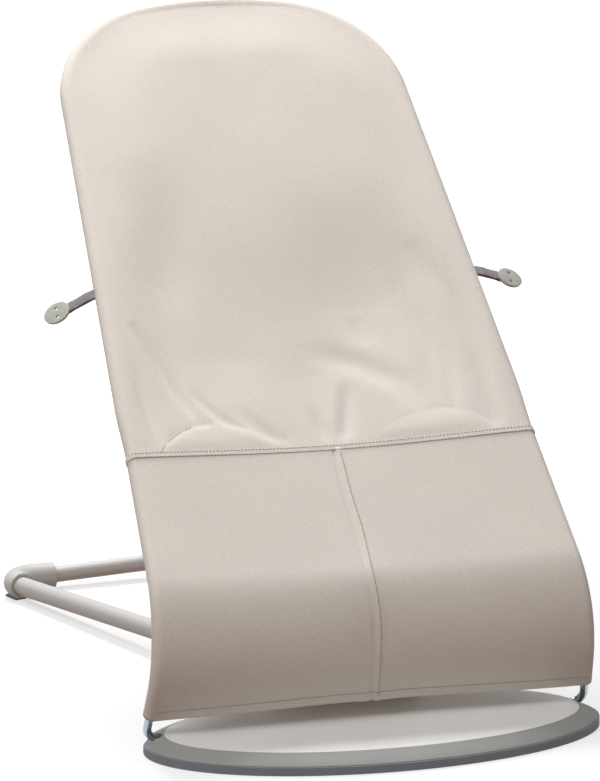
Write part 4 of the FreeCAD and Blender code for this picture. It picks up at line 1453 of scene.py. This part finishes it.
@dataclass
class SideStrap:
    """One elastic loop at the seat's side and the moulded toggle on its end."""

    seat: SeatFrame
    side: Side
    hoop: Hoop = field(default_factory=Hoop)
    along: float = 0.387
    edge: float = 0.0083
    length: float = 0.0225
    width: float = 0.0090
    thickness: float = 0.0011
    toggle_gap: float = 0.0025
    toggle_half_length: float = 0.013
    toggle_half_width: float = 0.0105
    toggle_thickness: float = 0.0040
    # how far the loop starts inside the cover's edge and turns short of the toggle's middle
    root_tuck: float = 0.004
    turn_inset: float = 0.0035
    # half the gap between the loop's two layers, and how far it dips under the toggle
    half_gap: float = 0.0009
    slack: float = 0.0004
    under: float = 0.0012
    wave: float = 0.0005
    # the toggle's raised rim, its dished face and its two thread holes
    rim_width: float = 0.0024
    dish_slope: float = 0.0010
    dish_depth: float = 0.0009
    dish_width: float = 0.0030
    dish_crown: float = 0.0002
    hole_offset: float = 0.0042
    hole_radius: float = 0.0014
    edge_round: float = 0.0005

    @property
    def droop(self) -> float:
        """How far the limp strap hangs at rest, which differs from side to side."""
        return math.radians(38.0 if self.side is Side.LEFT else 21.0)

    def frame_axes(self) -> tuple[Points, Points, Points, Points]:
        """The strap's root, and its axes: out to the side, along the seat, and up.

        Returns:
            The root and three unit directions, in the world.
        """
        sign = self.side.value
        root_across = sign * (self.hoop.half_width(self.along) + self.edge)
        root = self.seat.world(np.array(root_across), np.array(self.along), np.array(self.hoop.out))
        across = np.array([1.0, 0.0, 0.0])
        outward = sign * across * math.cos(self.droop) - self.seat.out * math.sin(self.droop)
        upward = self.seat.out * math.cos(self.droop) + sign * across * math.sin(self.droop)
        return root, outward, self.seat.along, upward

    def make_loop(self) -> bpy.types.Object:
        """The doubled elastic, from the seat's edge round the toggle's bar and back.

        Returns:
            The finished piece.
        """
        root, outward, along, upward = self.frame_axes()
        turn = self.length + self.toggle_gap + self.toggle_half_length - self.turn_inset
        run = np.linspace(-self.root_tuck, turn, 46)
        gap = self.half_gap + self.slack * np.sin(run / 0.006) ** 2
        under = self.under * step(run, self.length, self.length + 0.006)
        wave = self.wave * np.sin(run / 0.0045)
        bend = np.linspace(-np.pi / 2, np.pi / 2, 9)[1:-1]
        reach = np.concatenate([run, turn + gap[-1] * np.cos(bend), run[::-1]])
        height = np.concatenate(
            [-gap + wave, gap[-1] * np.sin(bend) + wave[-1], (gap + wave)[::-1]]
        )
        height = height - np.concatenate([under, np.full(len(bend), under[-1]), under[::-1]])
        line = np.stack([reach, height], axis=1)
        tangent = np.gradient(line, axis=0)
        tangent /= np.linalg.norm(tangent, axis=1, keepdims=True)
        normal = np.stack([-tangent[:, 1], tangent[:, 0]], axis=1)
        ring = np.linspace(0, 2 * np.pi, 17)
        wide = np.sign(np.cos(ring)) * np.abs(np.cos(ring)) ** 0.35 * self.width / 2
        thick = np.sign(np.sin(ring)) * np.abs(np.sin(ring)) ** 0.6 * self.thickness / 2
        flat = line[:, None] + normal[:, None] * thick[None, :, None]
        sideways = np.broadcast_to(wide, flat.shape[:2])
        points = (
            root
            + flat[..., :1] * outward
            + flat[..., 1:] * upward
            + sideways[..., None] * along
        )
        walked = np.broadcast_to(distances(line)[:, None], sideways.shape)
        lengths = np.stack([sideways, walked], axis=-1)
        loop = woven_grid(f"elastic_loop_{self.side.word}", points, lengths)
        weld(loop)
        with editing(loop, "DESELECT"):
            bpy.ops.mesh.select_non_manifold()
            bpy.ops.mesh.edge_face_add()
            bpy.ops.mesh.select_all(action="SELECT")
            bpy.ops.mesh.normals_make_consistent(inside=False)
        smooth(loop, 60.0)
        return loop

    def make_toggle(self) -> bpy.types.Object:
        """The oval toggle: a dished face inside a raised rim, with two thread holes.

        Returns:
            The finished piece.
        """
        clear_selection()
        bpy.ops.mesh.primitive_cylinder_add(vertices=72, radius=1.0, depth=1.0)
        toggle = named(f"moulded_toggle_{self.side.word}")
        toggle.scale = (self.toggle_half_length, self.toggle_half_width, self.toggle_thickness)
        bpy.ops.object.transform_apply(location=False, rotation=False, scale=True)
        with editing(toggle, "DESELECT"):
            bpy.ops.object.mode_set(mode="OBJECT")
            for polygon in toggle.data.polygons:
                polygon.select = abs(polygon.normal.z) > 0.9
            bpy.ops.object.mode_set(mode="EDIT")
            bpy.ops.mesh.inset(thickness=self.rim_width, use_individual=False)
            bpy.ops.mesh.inset(thickness=self.dish_slope, depth=-self.dish_depth)
            bpy.ops.mesh.inset(thickness=self.dish_width, depth=self.dish_crown)
        for offset in (-self.hole_offset, self.hole_offset):
            clear_selection()
            bpy.ops.mesh.primitive_cylinder_add(
                vertices=24, radius=self.hole_radius, depth=0.02, location=(0, offset, 0)
            )
            cut(toggle, named("drill"))
        add_modifier(
            toggle, "BEVEL", width=self.edge_round, segments=3, limit_method="ANGLE",
            angle_limit=math.radians(28.0),
        )
        bake(toggle)
        root, outward, along, upward = self.frame_axes()
        reach = self.length + self.toggle_gap + self.toggle_half_length
        corners = np.array([vertex.co for vertex in toggle.data.vertices])
        sign = self.side.value
        placed = (
            root
            + outward * reach
            + corners[:, :1] * outward * sign
            + corners[:, 1:2] * along
            + corners[:, 2:] * upward
        )
        toggle.data.vertices.foreach_set("co", placed.reshape(-1))
        toggle.data.update()
        smooth(toggle, 35.0)
        return toggle

    def build(self, elastic: bpy.types.Material, plastic: bpy.types.Material) -> None:
        """Make and dress the loop and its toggle, and attach the toggle.

        Args:
            elastic: The loop's material.
            plastic: The toggle's material.
        """
        word = self.side.word
        loop = self.make_loop()
        dress(loop, elastic)
        root, outward, _, _ = self.frame_axes()
        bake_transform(loop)
        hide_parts(f"elastic_strap_{word}")
        toggle = self.make_toggle()
        dress(toggle, plastic)
        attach(toggle, f"toggle_{word}")
        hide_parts(f"toggle_{word}")
        log.info("strap and toggle %s", word)


# ---------------------------------------------------------------- foot plate


@dataclass
class FootPlate:
    """The oval plate's moulded shell: a flat top, a grained sloping edge painted darker as shade, and two notches.
    """

    notch_start: float = 0.178
    notch_width: float = 0.026
    pin_forward: float = 0.019
    lip: float = 0.0014
    run: float = 0.018
    sink: float = 0.0018
    notch_past: float = 0.004
    notch_round: float = 0.003

    def build(self) -> None:
        """Make, dress and attach the shell."""
        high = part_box("foot_plate_rubber")[1]
        half_width, half_depth, rim = high.x, high.y, high.z
        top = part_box("foot_plate_shell")[1].z
        rise = top - rim
        # the profile as (inset from the rim, height): under the edge, up and over to the middle
        profile = [
            (half_depth - 0.0002, rim - self.sink),
            (self.lip + 0.0006, rim - self.sink),
            (self.lip, rim - 0.0002),
            (self.lip + 0.0002, rim + 0.0008),
            (self.lip + 0.0012, rim + 0.0016),
            (self.run * 0.5, rim + rise * 0.56),
            (self.run - 0.0022, top - 0.0012),
            (self.run - 0.0006, top - 0.0004),
            (self.run + 0.0014, top),
            (self.run + 0.030, top),
            (half_depth - 0.0002, top),
        ]
        angles = np.linspace(0, 2 * np.pi, 193)
        inset, height = np.array(profile).T[..., None]
        across = (half_width - inset) * np.cos(angles)
        along = (half_depth - inset) * np.sin(angles)
        points = np.stack([across, along, np.broadcast_to(height, across.shape)], axis=-1)
        plate = woven_grid("foot_plate_top", points, points[..., :2], np.array([0.0, 0.0, 1.0]))
        weld(plate)
        with editing(plate):
            bpy.ops.mesh.fill_holes(sides=0)
            bpy.ops.mesh.normals_make_consistent(inside=False)
        reach = half_width + self.notch_past - self.notch_start
        for side in Side:
            clear_selection()
            bpy.ops.mesh.primitive_cube_add(
                size=1.0,
                location=(side.value * (self.notch_start + reach / 2), self.pin_forward, top),
                scale=(reach, self.notch_width, 0.05),
            )
            cutter = named("notch_cutter")
            add_modifier(cutter, "BEVEL", width=self.notch_round, segments=4)
            bake(cutter)
            cut(plate, cutter)
        dress(plate, PLATE_TOP.material())
        # The sloping edge takes a copy of the top's plastic painted darker, as painted shade.
        plate.data.materials.append(PLATE_EDGE_SHADE.material())
        for polygon in plate.data.polygons:
            centre = polygon.center
            size = (centre.x / (half_width - self.run)) ** 2
            size += (centre.y / (half_depth - self.run)) ** 2
            polygon.material_index = int(size > 1.0)
        smooth(plate, 32.0)
        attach(plate, "base")
        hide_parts("foot_plate_shell")
        log.info("foot plate")


# ---------------------------------------------------------------- plastic and steel kept from CAD


class HardParts:
    """The CAD nodes whose shapes stay as they are, each with its own finish."""

    SLOTS: dict[str, Finish] = {
        "grey_plastic": MOULDED,
        "dark_rubber": RUBBER,
        "zinc_steel": ZINC,
        "painted_tube": POWDER,
        "dark_nylon": NYLON,
    }

    def build(self) -> None:
        """Assign a material to each node by the record's slot."""
        made = {slot: finish.material() for slot, finish in self.SLOTS.items()}
        for part in frame["record"]["subparts"]:
            node = frame["nodes"][part["node"]]
            slot = part["material_slot"]
            if slot in made:
                node.data.materials.clear()
                node.data.materials.append(made[slot])
        log.info("finishes on %d CAD nodes", len(frame["nodes"]))


# ---------------------------------------------------------------- studio


@dataclass(frozen=True)
class SoftLight:
    """A square soft light that looks at the middle of the seat: metres and watts."""

    name: str
    place: tuple[float, float, float]
    size: float
    power: float


@dataclass
class Studio:
    """A pale floor, two soft lights, a weak sky and the camera."""

    camera_place: tuple[float, float, float] = (-1.2835, -4.1197, 1.3100)
    camera_turn: float = -16.5
    camera_rise: float = 13.25
    lens: float = 250.99
    floor_glow: float = 0.60
    floor_tone: float = 0.36
    sky_low: float = -0.2
    sky_high: float = 0.25
    sky_dim: str = "#D8AE92"
    sky_power: float = 0.38
    middle: tuple[float, float, float] = (0.0, 0.25, 0.25)
    lights: tuple[SoftLight, ...] = (
        SoftLight("front_key", (-1.26, -0.67, 2.62), 1.4, 38.0),
        SoftLight("back_key", (0.0, 1.82, 2.62), 0.9, 77.0),
    )

    def make_camera(self) -> None:
        """Place the camera, and make it the scene's own."""
        turn, rise = math.radians(self.camera_turn), math.radians(self.camera_rise)
        ahead = Vector(
            (-math.sin(turn) * math.cos(rise), math.cos(turn) * math.cos(rise), -math.sin(rise))
        )
        data = bpy.data.cameras.new("camera")
        data.lens = self.lens
        data.sensor_width = 36.0
        data.clip_end = 60.0
        camera = bpy.data.objects.new("camera", data)
        camera.location = self.camera_place
        camera.rotation_euler = ahead.to_track_quat("-Z", "Y").to_euler()
        bpy.context.scene.collection.objects.link(camera)
        bpy.context.scene.camera = camera

    def make_floor(self) -> None:
        """Lay a wide floor lit from within, so that only a soft shadow shows on it."""
        clear_selection()
        bpy.ops.mesh.primitive_plane_add(size=40.0, location=(0.0, 0.0, -0.0002))
        floor = named("floor")
        material, tree = blank_material("lit_studio_floor")
        place = add_node(tree, "ShaderNodeTexCoord").outputs["Object"]
        away = add_node(
            tree, "ShaderNodeVectorMath", {"operation": "DISTANCE"}, {0: place, 1: (0.0, 0.25, 0.0)}
        )
        power = add_node(
            tree,
            "ShaderNodeMapRange",
            inputs={
                "Value": away.outputs["Value"],
                "From Min": 0.45,
                "From Max": 1.1,
                "To Min": self.floor_glow,
                "To Max": 1.0,
            },
        )
        glow = add_node(
            tree, "ShaderNodeEmission", inputs={"Strength": power.outputs["Result"]}
        )
        matt = add_node(
            tree, "ShaderNodeBsdfDiffuse", inputs={"Color": (self.floor_tone,) * 3 + (1.0,)}
        )
        both = add_node(
            tree, "ShaderNodeAddShader", inputs={0: glow.outputs[0], 1: matt.outputs[0]}
        )
        add_node(tree, "ShaderNodeOutputMaterial", inputs={"Surface": both.outputs[0]})
        floor.data.materials.append(material)
        floor.visible_diffuse = False

    def make_sky(self) -> None:
        """A soft sky: white overhead, and a dim warm tone towards the horizon and below."""
        world = bpy.data.worlds.new("sky")
        world.use_nodes = True
        tree = world.node_tree
        tree.nodes.clear()
        place = add_node(tree, "ShaderNodeTexCoord").outputs["Generated"]
        height = add_node(tree, "ShaderNodeSeparateXYZ", inputs={"Vector": place}).outputs["Z"]
        rise = add_node(
            tree,
            "ShaderNodeMapRange",
            inputs={"Value": height, "From Min": self.sky_low, "From Max": self.sky_high},
        )
        tone = add_node(
            tree,
            "ShaderNodeMix",
            {"data_type": "RGBA"},
            {0: rise.outputs["Result"], 6: linear(self.sky_dim), 7: linear("#FFFFFF")},
        )
        glow = add_node(
            tree,
            "ShaderNodeBackground",
            inputs={"Color": tone.outputs[2], "Strength": self.sky_power},
        )
        add_node(tree, "ShaderNodeOutputWorld", inputs={"Surface": glow.outputs["Background"]})
        bpy.context.scene.world = world

    def make_light(self, light: SoftLight) -> None:
        """Hang a light.

        Args:
            light: Its name, place, size and power.
        """
        data = bpy.data.lights.new(light.name, "AREA")
        data.shape = "SQUARE"
        data.size = light.size
        data.energy = light.power
        lamp = bpy.data.objects.new(light.name, data)
        lamp.location = light.place
        aim = Vector(self.middle) - Vector(light.place)
        lamp.rotation_euler = aim.to_track_quat("-Z", "Y").to_euler()
        bpy.context.scene.collection.objects.link(lamp)

    def build(self) -> None:
        """Set up camera, floor, sky and lights."""
        self.make_camera()
        self.make_floor()
        self.make_sky()
        for light in self.lights:
            self.make_light(light)
        bpy.context.scene.view_settings.view_transform = "Standard"
        log.info("studio")


# ---------------------------------------------------------------- assembly


def main() -> None:
    """Build the bouncer's looks round the CAD frame, and the studio round it."""
    seat = read_seat_frame()
    HardParts().build()
    FootPlate().build()
    Cover(seat).build()
    SpringRods(seat).build()
    elastic = ELASTIC.material()
    plastic = TOGGLE.material()
    for side in Side:
        SideStrap(seat, side).build(elastic, plastic)
    Studio().build()


if __name__ == "__main__":
    main()
